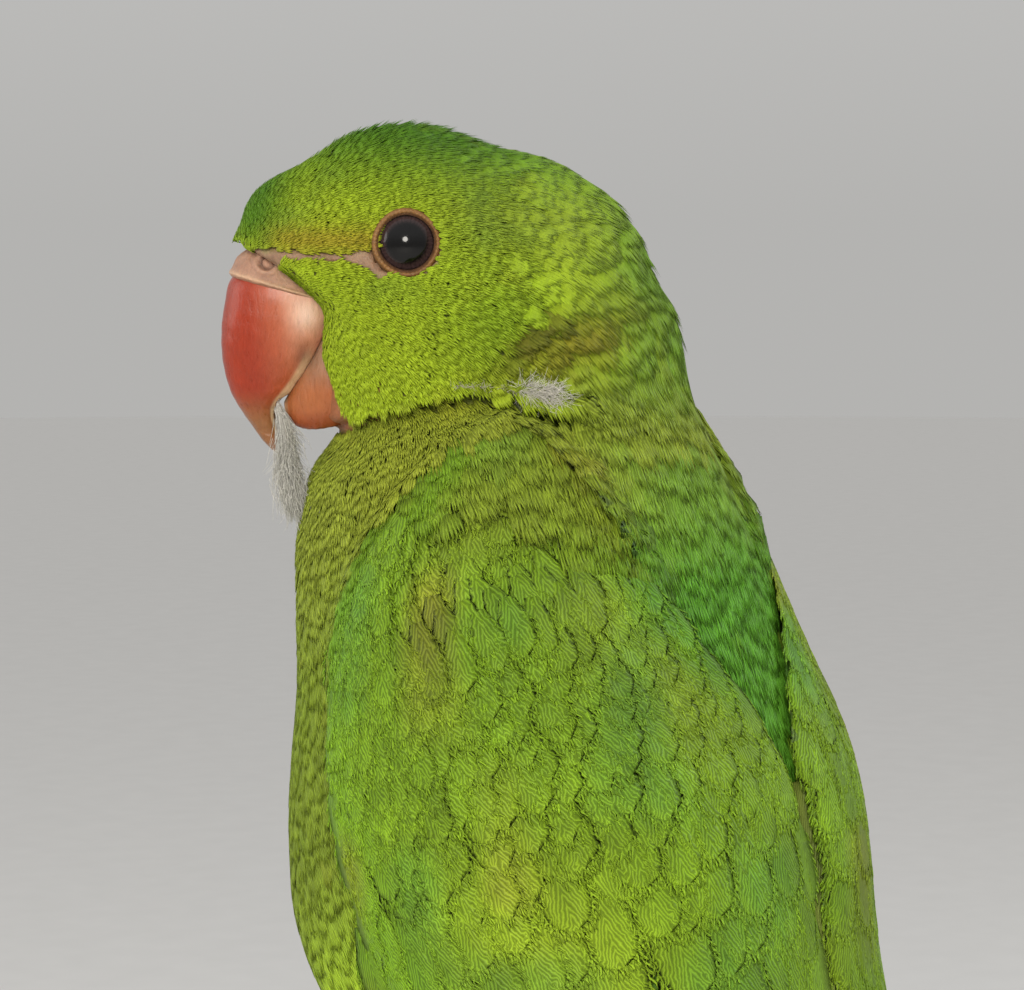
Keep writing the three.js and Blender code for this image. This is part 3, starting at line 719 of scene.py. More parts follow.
def join(parts):
    """Several (points, faces, tint) as one. What else a part holds is left out."""
    points = np.concatenate([p[0] for p in parts])
    offsets = np.cumsum([0] + [len(p[0]) for p in parts[:-1]])
    faces = [f + o for p, o in zip(parts, offsets) for f in p[1]]
    tint = np.concatenate([p[2] for p in parts])
    return points, faces, tint


def linear(*srgb):
    """Scene colour of an 8-bit screen colour."""
    c = np.array(srgb, float) / 255
    return np.where(c <= 0.04045, c / 12.92, ((c + 0.055) / 1.055) ** 2.4)


def mix(a, b, share):
    share = np.asarray(share, float)[..., None]
    return a * (1 - share) + b * share


def paint(tone, *coats):
    """Lays screen colours over a tone, one after the other, each with its share."""
    for srgb, share in coats:
        tone = mix(tone, linear(*srgb), share)
    return tone


def tinted(p, srgb):
    """One colour at every point, to be painted over."""
    return np.broadcast_to(linear(*srgb), p.shape)


# ---------------------------------------------------------------- materials


class Shader:
    """A material's node tree, with short calls for its nodes."""

    def __init__(self, name):
        self.material = bpy.data.materials.new(name)
        self.material.use_nodes = True
        self.tree = self.material.node_tree
        self.surface = self.tree.nodes["Principled BSDF"]

    def node(self, kind, inputs=(), **settings):
        made = self.tree.nodes.new(kind)
        for key, value in settings.items():
            setattr(made, key, value)
        for key, value in dict(inputs).items():
            self.feed(made.inputs[key], value)
        return made

    def feed(self, socket, value):
        if isinstance(value, bpy.types.NodeSocket):
            self.tree.links.new(value, socket)
        elif isinstance(value, bpy.types.Node):
            self.tree.links.new(value.outputs[0], socket)
        else:
            socket.default_value = value

    def math(self, operation, a, b=0.0):
        return self.node("ShaderNodeMath", {0: a, 1: b}, operation=operation).outputs[0]

    def attribute(self, name, output="Color"):
        return self.node("ShaderNodeAttribute", attribute_name=name).outputs[output]

    def place(self, stretch):
        """Object coordinates in millimetres, stretched."""
        where = self.node("ShaderNodeTexCoord").outputs["Object"]
        scale = [1000 * k for k in stretch]
        return self.node("ShaderNodeMapping", {"Vector": where, "Scale": scale}).outputs[0]

    def noise(self, scale, detail, rough, stretch=(1, 1, 1)):
        inputs = {"Vector": self.place(stretch), "Scale": scale, "Detail": detail, "Roughness": rough}
        return self.node("ShaderNodeTexNoise", inputs).outputs["Fac"]

    def remap(self, value, low, high, to_low, to_high):
        inputs = {"Value": value, "From Min": low, "From Max": high, "To Min": to_low, "To Max": to_high}
        return self.node("ShaderNodeMapRange", inputs).outputs["Result"]

    def blend(self, share, a, b, kind="MIX"):
        made = self.node("ShaderNodeMix", data_type="RGBA", blend_type=kind)
        self.feed(made.inputs["Factor"], share)
        self.feed(made.inputs[6], a)
        self.feed(made.inputs[7], b)
        return made.outputs[2]

    def shaded(self, base, tone):
        """A colour made lighter and darker by a tone that varies about 1."""
        grey = self.node("ShaderNodeCombineColor", {0: tone, 1: tone, 2: tone})
        return self.blend(1.0, base, grey, "MULTIPLY")

    def bump(self, height, distance):
        return self.node("ShaderNodeBump", {"Height": height, "Distance": distance * MM}).outputs[0]

    def finish(self, **sockets):
        """Feeds the surface's sockets, whose names have underscores for spaces here."""
        for key, value in sockets.items():
            self.feed(self.surface.inputs[key.replace("_", " ")], value)
        return self.material


def colour(*srgb):
    """A screen colour as a socket takes it."""
    return (*linear(*srgb), 1.0)


def skin_material():
    m = Shader("bare_skin")
    grain = m.noise(2.4, 4, 0.6)
    folds = m.noise(0.9, 2, 0.5)
    tone = m.remap(grain, 0.3, 0.7, 0.8, 1.15)
    height = m.math("ADD", grain, m.math("MULTIPLY", folds, 0.8))
    return m.finish(
        Base_Color=m.shaded(m.attribute("tint"), tone),
        Roughness=m.remap(grain, 0.3, 0.7, 0.5, 0.68),
        Normal=m.bump(height, 0.16),
        Subsurface_Weight=0.12,
        Subsurface_Radius=(0.0012, 0.0005, 0.0003),
        Subsurface_Scale=1.0,
    )


def horn_material():
    m = Shader("bill_horn")
    streaks = m.noise(1.3, 5, 0.65, stretch=(1.6, 1.6, 0.45))
    fine = m.noise(6.0, 3, 0.6)
    tone = m.remap(streaks, 0.3, 0.72, 0.86, 1.1)
    height = m.math("ADD", m.math("MULTIPLY", streaks, 1.4), m.math("MULTIPLY", fine, 0.35))
    return m.finish(
        Base_Color=m.shaded(m.attribute("tint"), tone),
        Roughness=m.remap(streaks, 0.3, 0.7, 0.24, 0.42),
        Normal=m.bump(height, 0.09),
        Subsurface_Weight=0.1,
        Subsurface_Radius=(0.002, 0.0006, 0.0003),
        Subsurface_Scale=1.0,
        Specular_IOR_Level=0.3,
        Coat_Weight=0.14,
        Coat_Roughness=0.2,
    )


def eye_material():
    m = Shader("eye_gloss")
    fibres = m.noise(4.5, 4, 0.6)
    tone = m.remap(fibres, 0.3, 0.7, 0.6, 1.4)
    return m.finish(
        Base_Color=m.shaded(m.attribute("tint"), tone),
        Roughness=m.remap(fibres, 0.2, 0.8, 0.1, 0.2),
        Coat_Weight=0.6,
        Coat_Roughness=0.02,
        Coat_IOR=1.35,
        Specular_IOR_Level=0.15,
    )


FEATHER_SHEEN = {"Sheen_Roughness": 0.4, "Sheen_Tint": (0.7, 0.9, 0.2, 1)}


def tuft_material():
    m = Shader("soft_feather")
    mottle = m.noise(0.55, 3, 0.6)
    fine = m.noise(3.2, 3, 0.6, stretch=(1, 1, 0.5))
    tone = m.math("MULTIPLY", m.remap(mottle, 0.3, 0.7, 0.88, 1.12), m.remap(fine, 0.3, 0.7, 0.85, 1.13))
    return m.finish(
        Base_Color=m.shaded(m.attribute("tint"), tone),
        Roughness=m.remap(fine, 0.3, 0.7, 0.5, 0.66),
        Normal=m.bump(fine, 0.04),
        Specular_IOR_Level=0.16,
        Sheen_Weight=0.06,
        **FEATHER_SHEEN,
    )


def vane_material(name, pitch, lean, contrast, waves):
    """Fine barbs that leave the shaft at a lean, pitch millimetres apart. waves says how much they wander,
    on the web and at the fringe."""
    m = Shader(name)
    place = m.node("ShaderNodeSeparateXYZ", {0: m.attribute("vane", "Vector")})
    across = m.math("ABSOLUTE", place.outputs[0])
    angle = math.radians(lean)
    wave = m.noise(0.8, 2, 0.5)
    strength = m.remap(m.attribute("tint", "Alpha"), 0.0, 0.7, *waves)
    ripple = m.math("MULTIPLY", m.math("SUBTRACT", wave, 0.5), strength)
    climb = m.math("MULTIPLY", place.outputs[1], math.sin(angle) * 2 * math.pi / pitch)
    away = m.math("MULTIPLY", across, math.cos(angle) * 2 * math.pi / pitch)
    phase = m.math("ADD", m.math("SUBTRACT", climb, away), m.math("ADD", ripple, place.outputs[2]))
    barbs = m.math("ADD", m.math("MULTIPLY", m.math("SINE", phase), 0.5), 0.5)
    mottle = m.noise(0.35, 4, 0.6)
    tone = m.remap(barbs, 0, 1, 1 - contrast, 1 + 0.6 * contrast)
    tone = m.math("MULTIPLY", tone, m.remap(mottle, 0.3, 0.7, 0.85, 1.15))
    return m.finish(
        Base_Color=m.shaded(m.attribute("tint"), tone),
        Roughness=m.remap(barbs, 0, 1, 0.62, 0.46),
        Normal=m.bump(barbs, 0.07),
        Specular_IOR_Level=0.14,
        Sheen_Weight=0.03,
        **FEATHER_SHEEN,
    )


def down_material():
    m = Shader("down")
    fine = m.noise(2.5, 3, 0.6)
    tone = m.remap(fine, 0.3, 0.7, 0.88, 1.08)
    return m.finish(
        Base_Color=m.shaded(m.attribute("tint"), tone),
        Roughness=m.remap(fine, 0.3, 0.7, 0.6, 0.8),
        Sheen_Weight=0.2,
    )


def bark_material():
    m = Shader("bark")
    grain = m.noise(1.1, 5, 0.65, stretch=(0.3, 1, 1))
    fine = m.noise(4.0, 4, 0.65, stretch=(0.4, 1, 1))
    tone = m.math("MULTIPLY", m.remap(grain, 0.3, 0.7, 0.72, 1.2), m.remap(fine, 0.3, 0.7, 0.85, 1.12))
    height = m.math("ADD", grain, m.math("MULTIPLY", fine, 0.4))
    return m.finish(
        Base_Color=m.shaded(m.attribute("tint"), tone),
        Roughness=m.remap(fine, 0.3, 0.7, 0.7, 0.92),
        Normal=m.bump(height, 0.25),
    )


def wood_material():
    m = Shader("stand_wood")
    warp = m.noise(0.02, 2, 0.5)
    place = m.node("ShaderNodeSeparateXYZ", {0: m.place((1, 1, 1))})
    bend = m.math("MULTIPLY", m.math("SUBTRACT", warp, 0.5), 22.0)
    across = m.math("ADD", place.outputs[1], bend)
    rings = m.math("SINE", m.math("MULTIPLY", across, 1.15))
    pores = m.noise(1.2, 4, 0.7, stretch=(0.06, 1, 1))
    share = m.math("ADD", m.remap(rings, -1, 1, 0.25, 0.5), m.math("MULTIPLY", pores, 0.55))
    return m.finish(
        Base_Color=m.blend(m.remap(share, 0.2, 1.0, 0.0, 1.0), colour(58, 34, 20), colour(112, 72, 44)),
        Roughness=m.remap(pores, 0.3, 0.7, 0.34, 0.52),
        Normal=m.bump(pores, 0.06),
        Coat_Weight=0.35,
        Coat_Roughness=0.2,
    )


def steel_material():
    m = Shader("brushed_steel")
    brush = m.noise(2.5, 4, 0.6, stretch=(1, 1, 0.02))
    turned = m.noise(3.0, 3, 0.6, stretch=(0.05, 0.05, 1))
    mark = m.math("ADD", m.math("MULTIPLY", brush, 0.6), m.math("MULTIPLY", turned, 0.4))
    return m.finish(
        Base_Color=m.blend(m.remap(mark, 0.3, 0.7, 0.0, 1.0), colour(150, 150, 152), colour(196, 196, 198)),
        Roughness=m.remap(mark, 0.3, 0.7, 0.26, 0.42),
        Normal=m.bump(mark, 0.02),
        Metallic=1.0,
    )


# ---------------------------------------------------------------- colours of the plumage

OCHRE, TEAL = (150, 132, 44), (60, 128, 66)
# how much the painted shade round the shoulder of the folded wing darkens the coat
SHOULDER_SHADE_TINT = [0.8, 0.76, 0.66]


def head_colour(q):
    """Bright cheek, emerald brow and rim, the rim deepened by painted shade, olive crown, brown lores and
    ear fold, in the head's frame.
    """
    y, z = q[..., 1], q[..., 2]
    ear = bump(y, 11, 8) * bump(z, -8, 8)
    rim = np.maximum(smooth(8, 15, z) * (1 - smooth(10, 22, y)), smooth(-13, -20, y) * smooth(-3, 3, z))
    brow = bump(z, 0.2, 1.9) * smooth(-21, -15, y) * (1 - smooth(-6, -3, y))
    fold = bump(behind_fold(q), 0.8, 2.8) * bump(z, -10.5, 5.5)
    line = bump(behind_fold(q), -1.5, 0.9) * bump(z, -10.5, 4.5)
    return paint(
        tinted(q, (142, 163, 31)),
        ((120, 148, 27), ear * 0.9),
        ((120, 140, 36), smooth(-1, 9, y) * smooth(-6, 4, z) * 0.8),
        ((100, 134, 28), smooth(3, 12, z) * 0.9),
        # the rim's emerald is partly its own colour and partly painted shade along the forehead and crown
        ((60, 104, 18), rim * 0.9),
        ((118, 134, 38), smooth(14, 22, y) * (1 - smooth(-16, -10, z))),
        ((80, 118, 30), smooth(17, 30, y) * smooth(-21, -9, z) * 0.85),
        ((146, 130, 36), brow * 0.85),
        ((112, 104, 28), fold * 0.85),
        # painted shade: a dark line under the edge of the ear's fold
        ((66, 62, 18), line * 0.85),
    )


def body_colour(p, q):
    """Olive under the crease, pale throat, olive shoulders, emerald back, yellow-green flanks and vent."""
    s, across, n = to_body(p)
    _, degrees, _ = wing_position(p)
    reach = np.linalg.norm(q, axis=-1)
    neck = paint(
        tinted(p, (138, 148, 42)),
        ((142, 156, 54), (1 - smooth(-18, 4, q[..., 1])) * 0.8),
        ((120, 138, 40), smooth(144, 156, degrees) * smooth(-40, -30, s)),
        ((96, 132, 36), smooth(156, 172, degrees) * smooth(-44, -24, s)),
        ((118, 130, 38), bump(degrees, 146, 17) * smooth(-22, -14, s) * (1 - smooth(0, 9, s))),
    )
    back = paint(tinted(p, (100, 132, 36)), ((76, 130, 30), smooth(-8, 10, s)))
    belly = paint(
        tinted(p, (112, 132, 34)),
        ((142, 166, 42), smooth(40, 90, s)),
        ((152, 184, 42), smooth(14, 26, np.abs(across)) * smooth(20, 40, s)),
    )
    trunk = mix(belly, back, smooth(-6, 10, n))
    body = mix(neck, trunk, smooth(34, 58, reach))
    return paint(body, ((158, 172, 52), smooth(84, 110, s) * (1 - smooth(2, 6, n))))


def coat_colour(p):
    """Base colour of the coat at points of the surface. The skin under it carries the same markings."""
    q = to_head(p)
    s, degrees, _ = wing_position(p)
    u, _ = wing_share(s, degrees)
    patches = lattice_noise(p, 7.0, 11) * 0.6 + lattice_noise(p, 3.0, 12) * 0.4
    tone = mix(head_colour(q), body_colour(p, q), smooth(-0.5, 1.2, below_crease(q)))
    ochre, teal = np.clip(patches - 0.35, 0, 1) * 0.5, np.clip(-patches - 0.4, 0, 1) * 0.3
    tone = paint(tone, (OCHRE, ochre), (TEAL, teal)) * (1 + 0.08 * patches[..., None])
    on_wing = (u > 0) & (u < 1) & (s > WING_START) & (s < WING_END)
    tone = np.where(on_wing[..., None], wing_colour(s, u, p), tone)
    # painted shade in the hollow round the shoulder of the folded wing
    arc = bump(u, 1.0, 0.045) * smooth(WING_START - 4, WING_START + 2, s) * (1 - smooth(4, 16, s))
    return mix(tone, tone * SHOULDER_SHADE_TINT, arc)


def skin_colour(p):
    """Bare skin by the bill and eyes and on the feet, and elsewhere a dull ground under the coat, darkened
    a little as painted shade.
    """
    q = to_head(p)
    grain = lattice_noise(p, 0.9, 3) * 0.5 + lattice_noise(p, 2.2, 4) * 0.5
    # the coat's own colour a little darker, as painted shade in the gaps between the feathers
    under = paint(coat_colour(p) * 0.95, ((96, 88, 60), np.full(p.shape[:-1], 0.06)))
    pink = paint(tinted(p, (158, 128, 100)), ((124, 90, 68), 0.5 + 0.5 * grain))
    eye = 1 - smooth(LID_REACH - 0.2, LID_REACH + 0.6, eye_offset(q))
    height, reach = q[..., 2], np.linalg.norm(q, axis=-1)
    by_bill = smooth(-3.2, -1.2, behind_feather_line(q)) * (height < 2)
    by_cere = by_bill * smooth(-9, -6, height)
    bare = np.maximum(np.maximum(loral_share(q), eye), by_cere) * (reach < 30)
    found = mix(under, pink, np.clip(bare * 1.3, 0, 1))
    gape = by_bill * (1 - smooth(-16, -12, height)) * smooth(-25, -23.5, height) * (reach < HEAD_REACH)
    found = paint(found, ((150, 92, 56), gape))
    foot = (1 - smooth(FOOT_TOP, FOOT_TOP + 2, p[..., 2] - PERCH_HEIGHT)) * (np.abs(p[..., 1]) < 16)
    foot = foot * (np.abs(p[..., 0]) < FEET_WIDTH / 2)
    grey_pink = paint(tinted(p, (150, 132, 120)), ((116, 104, 98), 0.5 + 0.5 * grain))
    return mix(found, grey_pink, foot)


# ---------------------------------------------------------------- skin with its lids


def lid_ring(side):
    """Fleshy ring round the eye, with a row of small warts."""
    around, across = 144, 14
    turn = circle(around)
    share = np.linspace(0, 1, across)
    radius = 3.3 + 1.4 * share
    rise = 14.02 + 0.78 * np.sin(np.pi * np.clip(share * 1.16, 0, 1)) ** 0.8 - 1.1 * smooth(0.6, 1, share)
    t, r = np.meshgrid(turn, radius, indexing="ij")
    wart = np.cos(t * 46) * bump(r, 3.78, 0.13) * 0.07 + np.cos(t * 52 + 1) * bump(r, 4.06, 0.12) * 0.06
    crease = -0.12 * bump(r, 3.6, 0.08)
    oval = 1 + 0.02 * np.cos(2 * (t - 0.4))
    height = rise[None] + wart + crease
    y = r * np.cos(t) * oval
    z = r * np.sin(t) / oval
    # the top is the ring's shown side; its back lies inside the head
    top = np.stack([side * (height - 0.05 * z), y, z], -1)
    under = np.stack([side * np.full_like(height, 12.0), y, z], -1)[:, ::-1]
    rings = np.concatenate([top, under], 1)
    points = from_head(rings.reshape(-1, 3))
    count = rings.shape[1]
    i, k = np.meshgrid(np.arange(around), np.arange(count), indexing="ij")
    a, b = i * count + k, i * count + (k + 1) % count
    c, d = ((i + 1) % around) * count + (k + 1) % count, ((i + 1) % around) * count + k
    faces = facing_out(points, [np.stack([a, b, c, d], -1).reshape(-1, 4)])
    dark = bump(r, 3.36, 0.14) + bump(r, 3.6, 0.09) * 0.7 + smooth(4.15, 4.5, r) * 0.6
    tint = paint(
        tinted(top, (118, 80, 34)),
        ((150, 112, 60), np.clip(wart * 9, 0, 1)),
        ((70, 44, 30), np.clip(dark, 0, 1)),
    )
    speck = lattice_noise(top, 0.6, 31 + side)
    tint = tint * (1 + 0.22 * speck[..., None])
    tint = np.concatenate([tint, tint[:, ::-1]], 1)
    return points, faces, tint.reshape(-1, 3)


def build_skin():
    """One mesh for the flesh of the whole bird, with the lids."""
    cell = SKIN_CELL
    points, quads = surface_nets(skin_distance, (-40, -50, 100), (40, 56, 306), cell)
    points = settle(skin_distance, points, rounds=1, reach=0.4)
    body = (points, [quads], skin_colour(points))
    lids = [lid_ring(side) for _, side in SIDES]
    points, faces, tint = join([body, *lids])
    skin = add_piece("skin", points, faces, skin_material(), tint)
    flesh = ["head", "neck", "trunk", "rump"]
    flesh += [f"{part}_{label}" for part in ("thigh", "foot", "wing") for label, _ in SIDES]
    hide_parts(*flesh)


# ---------------------------------------------------------------- eyes


def build_eyes():
    """Each ball has a domed cornea; the iris is a narrow dark brown ring round a wide pupil."""
    for label, side in SIDES:
        polar = np.linspace(0.012, np.pi - 0.05, 72)
        p, t = np.meshgrid(polar, circle(96), indexing="ij")
        off_axis = EYE_RADIUS * np.sin(p)
        dome = 0.42 * np.clip(1 - (off_axis / 3.3) ** 2, 0, 1) ** 1.3 * (p < 1.4)
        depth = (EYE_RADIUS + dome) * np.cos(p)
        local = np.stack([side * (EYE_SIDE + depth), off_axis * np.cos(t), off_axis * np.sin(t)], -1)
        points, faces = closed_rings(from_head(local))
        iris = smooth(2.3, 3.05, off_axis) * (1 - smooth(3.2, 3.42, off_axis))
        fibres = 0.75 + 0.25 * np.cos(t * 47 + 3 * np.sin(t * 5)) * smooth(2.2, 2.6, off_axis)
        tint = paint(
            tinted(local, (8, 7, 7)),
            ((62, 46, 46), iris * fibres),
            ((20, 15, 12), smooth(3.25, 3.5, off_axis)),
        )
        ball = add_piece(f"eyeball_{label}", points, faces, EYE, with_ends(tint))
        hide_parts(f"eye_{label}")


# ---------------------------------------------------------------- bill and cere

# Sections from base to tip: ridge y and z, cutting edge y and z, half width, in the head's frame.
UPPER_BILL = (
    (-17.5, -2.4, -8, -6.4, 5.9),
    (-22.7, -4, -9, -7.8, 6.7),
    (-24, -8, -10, -10, 6.8),
    (-24.4, -11.7, -11.8, -13.8, 6.3),
    (-24.2, -15.3, -14.2, -17.6, 5.2),
    (-23.3, -18.8, -16.9, -20.5, 4),
    (-21.9, -21.4, -17.5, -22.1, 3),
    (-20.1, -24, -17.1, -24.6, 1.9),
)
HOOK_TIP = (-16.8, -27.2)
LOWER_BILL = (
    (-16.3, -20.2, -16, -22.2, 2.3),
    (-14.8, -17.4, -14.6, -23.4, 3.9),
    (-12.6, -13.8, -12.7, -23.8, 4.9),
    (-10.2, -9.8, -10.2, -23.5, 5.9),
    (-6, -8, -6.3, -22.6, 6.4),
)
CERE = (
    (-14, 1, -8.6, -3, 4.6),
    (-18.9, 0.4, -9.8, -4.8, 6.1),
    (-22.1, -1.5, -10, -6.6, 6.8),
    (-23.1, -3.7, -9.8, -7.5, 7),
    (-22.7, -4.4, -9.6, -8, 6.3),
)
NOSTRIL = (-18.0, -2.4)


def sections(rows, steps):
    """A smooth run of sections through the given ones."""
    curve = table([(i, *row) for i, row in enumerate(rows)])
    return curve(np.linspace(0, len(rows) - 1, steps))


def oval_ring(rows, turn, hollow=0.0):
    """Rings between ridge and edge. turn runs from 0 at the ridge to pi at the edge; hollow draws in the
    palate."""
    ridge_y, ridge_z, edge_y, edge_z, width = (rows[:, k, None] for k in range(5))
    up = np.sign(np.cos(turn)) * np.abs(np.cos(turn)) ** 0.8
    side = np.sign(np.sin(turn)) * np.abs(np.sin(turn)) ** 0.8
    palate = hollow * smooth(0.80 * np.pi, np.pi, np.pi - np.abs(np.pi - turn))
    up = np.minimum(up * (1 + 0.12 * (up < 0)), 1) + palate
    up = np.maximum(up, -1)
    y = (ridge_y + edge_y) / 2 + (ridge_y - edge_y) / 2 * up
    z = (ridge_z + edge_z) / 2 + (ridge_z - edge_z) / 2 * up
    return np.stack(np.broadcast_arrays(width * side, y, z), -1)


def build_upper_bill():
    turn = circle(112)
    rings = oval_ring(sections(UPPER_BILL, 96), turn, hollow=0.55)
    # draws the last sections to the hook's point
    close = np.linspace(0, 1, 22)[1:]
    last = rings[-1]
    tip = np.array([0, *HOOK_TIP])
    shrink = np.sqrt(np.clip(1 - close**2.2, 0, 1))[:, None, None]
    centre = last.mean(0) * (1 - close[:, None]) + tip * close[:, None]
    rings = np.concatenate([rings, centre[:, None] + (last - last.mean(0)) * shrink])
    along = np.linspace(0, 1, len(rings))[:, None]
    turned = np.minimum(turn, 2 * np.pi - turn)[None]
    # growth ridges, and a shallow tooth and notch in the cutting edge
    outer = unit(rings - rings.mean(1, keepdims=True))
    ripple = 0.02 * np.sin(along * 85 + 1.5 * np.sin(turned * 3)) * smooth(0.1, 0.3, along)
    notch = -0.75 * bump(along, 0.575, 0.022) + 0.35 * bump(along, 0.52, 0.03)
    rings = rings + outer * (ripple + notch * bump(turned, 0.86 * np.pi, 0.16))[..., None]
    y, z = rings[..., 1], rings[..., 2]
    side_share = smooth(0.12 * np.pi, 0.5 * np.pi, turned) * np.ones_like(along)
    rear = smooth(-22, -12.5, y + 0.12 * (z + 10))
    edge = smooth(0.7 * np.pi, 0.75 * np.pi, turned) * smooth(0.3, 0.45, along)
    tint = paint(
        tinted(rings, (146, 46, 19)),
        ((162, 76, 46), smooth(0, 0.5, rear) * side_share),
        ((184, 114, 84), smooth(0.4, 1, rear) * smooth(-21, -13, z)),
        ((206, 158, 134), smooth(0.6, 1, rear) * smooth(-15, -7, z) * 0.7),
        # painted highlight: a pinkish-white spot high on the side of the bill
        ((232, 200, 184), bump(y, -13.0, 1.6) * bump(z, -9.0, 1.9) * side_share * 0.75),
        ((176, 128, 82), (1 - smooth(0.05, 0.13, along)) * side_share * 0.6),
        # painted shade: a dark spot low at the back of the bill, at the gape
        ((78, 58, 52), bump(y, -13.4, 1.1) * bump(z, -14.6, 1.9) * side_share * 0.6),
        ((134, 100, 60), (1 - smooth(-23.5, -18, z)) * 0.75),
        ((214, 184, 144), edge * 0.8),
    )
    cloud = lattice_noise(rings, 2.4, 5) * 0.6 + lattice_noise(rings, 0.8, 6) * 0.4
    tint = tint * (1 + 0.1 * cloud[..., None])
    points, faces = closed_rings(from_head(rings))
    piece = add_piece("upper_bill_horn", points, faces, HORN, with_ends(tint))
    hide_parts("bill_upper")


def build_lower_bill():
    steps = 60
    turn = circle(84)
    rings = oval_ring(sections(LOWER_BILL, steps), turn)
    along = np.linspace(0, 1, steps)[:, None]
    ripple = 0.02 * np.sin(along * 60 + 2 * turn)
    rings = rings + unit(rings - rings.mean(1, keepdims=True)) * ripple[..., None]
    tint = paint(
        tinted(rings, (158, 92, 52)),
        ((150, 66, 34), smooth(20.5, 23.5, -rings[..., 2]) * 0.7),
        ((150, 120, 98), (1 - smooth(14, 19.5, -rings[..., 2])) * 0.85),
        ((196, 168, 134), (1 - smooth(0.0, 0.12, along)) * 0.6),
    )
    cloud = lattice_noise(rings, 1.6, 7)
    tint = tint * (1 + 0.12 * cloud[..., None])
    points, faces = closed_rings(from_head(rings))
    piece = add_piece("lower_bill_horn", points, faces, HORN, with_ends(tint))
    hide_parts("bill_lower")


def build_cere():
    steps = 72
    turn = circle(150)
    rings = oval_ring(sections(CERE, steps), turn)
    away = np.hypot(rings[..., 1] - NOSTRIL[0], rings[..., 2] - NOSTRIL[1])
    upper = np.cos(turn)[None] > -0.7
    swell = 0.26 * bump(away, 1.3, 0.36) - 0.5 * bump(away, 0.82, 0.17)
    ridge = 0.24 * bump(np.linspace(0, 1, steps)[:, None], 0.74, 0.05)
    grain = 0.07 * lattice_noise(rings, 0.55, 8) + 0.1 * lattice_noise(rings, 1.6, 9)
    outer = unit(rings - rings.mean(1, keepdims=True))
    rings = rings + outer * (swell * upper + ridge + grain)[..., None]
    tint = paint(
        tinted(rings, (172, 132, 108)),
        ((150, 110, 88), 0.5 + 0.45 * lattice_noise(rings, 1.4, 10)),
        ((180, 142, 118), bump(away, 1.3, 0.3) * 0.6),
        # painted shade in the nostril's hollow
        ((84, 56, 44), bump(away, 0.82, 0.17) * 0.85),
        ((196, 160, 130), np.clip(ridge * 3.4, 0, 1)),
    )
    points, faces = closed_rings(from_head(rings))
    piece = add_piece("cere_skin", points, faces, SKIN, with_ends(tint))
    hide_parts("cere")


# ---------------------------------------------------------------- feather shapes


class Feather:
    """One feather's mesh. Every point has a share of the length t and of the half width x, offsets in
    millimetres along, across and up, how much it belongs to the fringe, and the number of its strand."""

    def __init__(self):
        self.rows = []
        self.triangles = []
        self.quads = []

    def point(self, t, x, along=0.0, across=0.0, up=0.0, fringe=0.0, strand=0):
        self.rows.append((t, x, along, across, up, fringe, strand))
        return len(self.rows) - 1

    def close(self):
        """Arrays of the finished shape, facing out."""
        self.table = np.array(self.rows, float)
        t, x, along, across, up = self.table[:, :5].T
        flat = np.stack([t * 10 + along, x * 3 + across, up], -1)
        faces = [np.array(f).reshape(-1, n) for f, n in ((self.triangles, 3), (self.quads, 4)) if f]
        self.faces = facing_out(flat, faces)
        self.strands = int(self.table[:, 6].max()) + 1
        return self


def spike(feather, rings, tip):
    """Faces of a three-sided spike through rings of point numbers, to a tip."""
    for near, far in zip(rings, rings[1:]):
        for k in range(3):
            feather.quads.append((near[k], near[(k + 1) % 3], far[(k + 1) % 3], far[k]))
    for k in range(3):
        feather.triangles.append((rings[-1][k], rings[-1][(k + 1) % 3], tip))
    feather.triangles.append(tuple(rings[0][::-1]))


def strand(feather, path, width, thickness, number, fringe=0.5):
    """A thin pointed spike with a ridge, through [t, x] pairs."""
    rings = []
    for k, (t, x) in enumerate(path[:-1]):
        half = width / 2 * (0.75 if k == 0 else 1 - 0.25 * (k - 1))
        ring = []
        for across, up in ((-half, 0), (0, thickness), (half, 0)):
            ring.append(feather.point(t, x, 0, across, up, fringe * t, number))
        rings.append(ring)
    t, x = path[-1]
    spike(feather, rings, feather.point(t, x, 0, 0, thickness * 0.3, fringe, number))


def tuft(strands, width, thickness):
    """A small feather of loose barbs that fan out from its root."""
    feather = Feather()
    for j in range(strands):
        side = 2 * j / (strands - 1) - 1
        reach = 1 - 0.22 * side * side - (0.07 if j % 2 else 0)
        start = 0.05 * abs(side)
        path = [(start + (reach - start) * share, side * share**0.7) for share in (0, 0.5, 1)]
        path[0] = (start, side * 0.28)
        strand(feather, path, width, thickness, j)
    return feather.close()


def barbed(strands, width):
    """A soft body feather: a small web at the root, and side by side barbs that end in a round tip."""
    feather = Feather()
    rows = []
    for t, half in ((0.0, 0.35), (0.3, 0.8), (0.62, 0.86)):
        rows.append([feather.point(t, x * half, 0, 0, 0.02 - 0.03 * abs(x), 0.1) for x in (-1, 0, 1)])
        rows[-1].append(feather.point(t, 0, 0, 0, -0.09))
    for near, far in zip(rows, rows[1:]):
        for a, b in ((0, 1), (1, 2), (2, 3), (3, 0)):
            feather.quads.append((near[a], near[b], far[b], far[a]))
    for row, turn in ((rows[0], 1), (rows[-1], -1)):
        a, b, c, d = row[::turn]
        feather.triangles += [(a, d, c), (a, c, b)] if turn > 0 else [(a, b, c), (a, c, d)]
    for j in range(strands):
        side = 2 * (j + 0.5) / strands - 1
        reach = 1 - 0.2 * side * side - 0.05 * (j % 3)
        start = 0.3 + 0.04 * (j % 2)
        path = [(start + (reach - start) * k / 2, side * (0.82 + 0.12 * k / 2)) for k in range(3)]
        strand(feather, path, width, 0.07, j + 1, fringe=0.8)
    return feather.close()


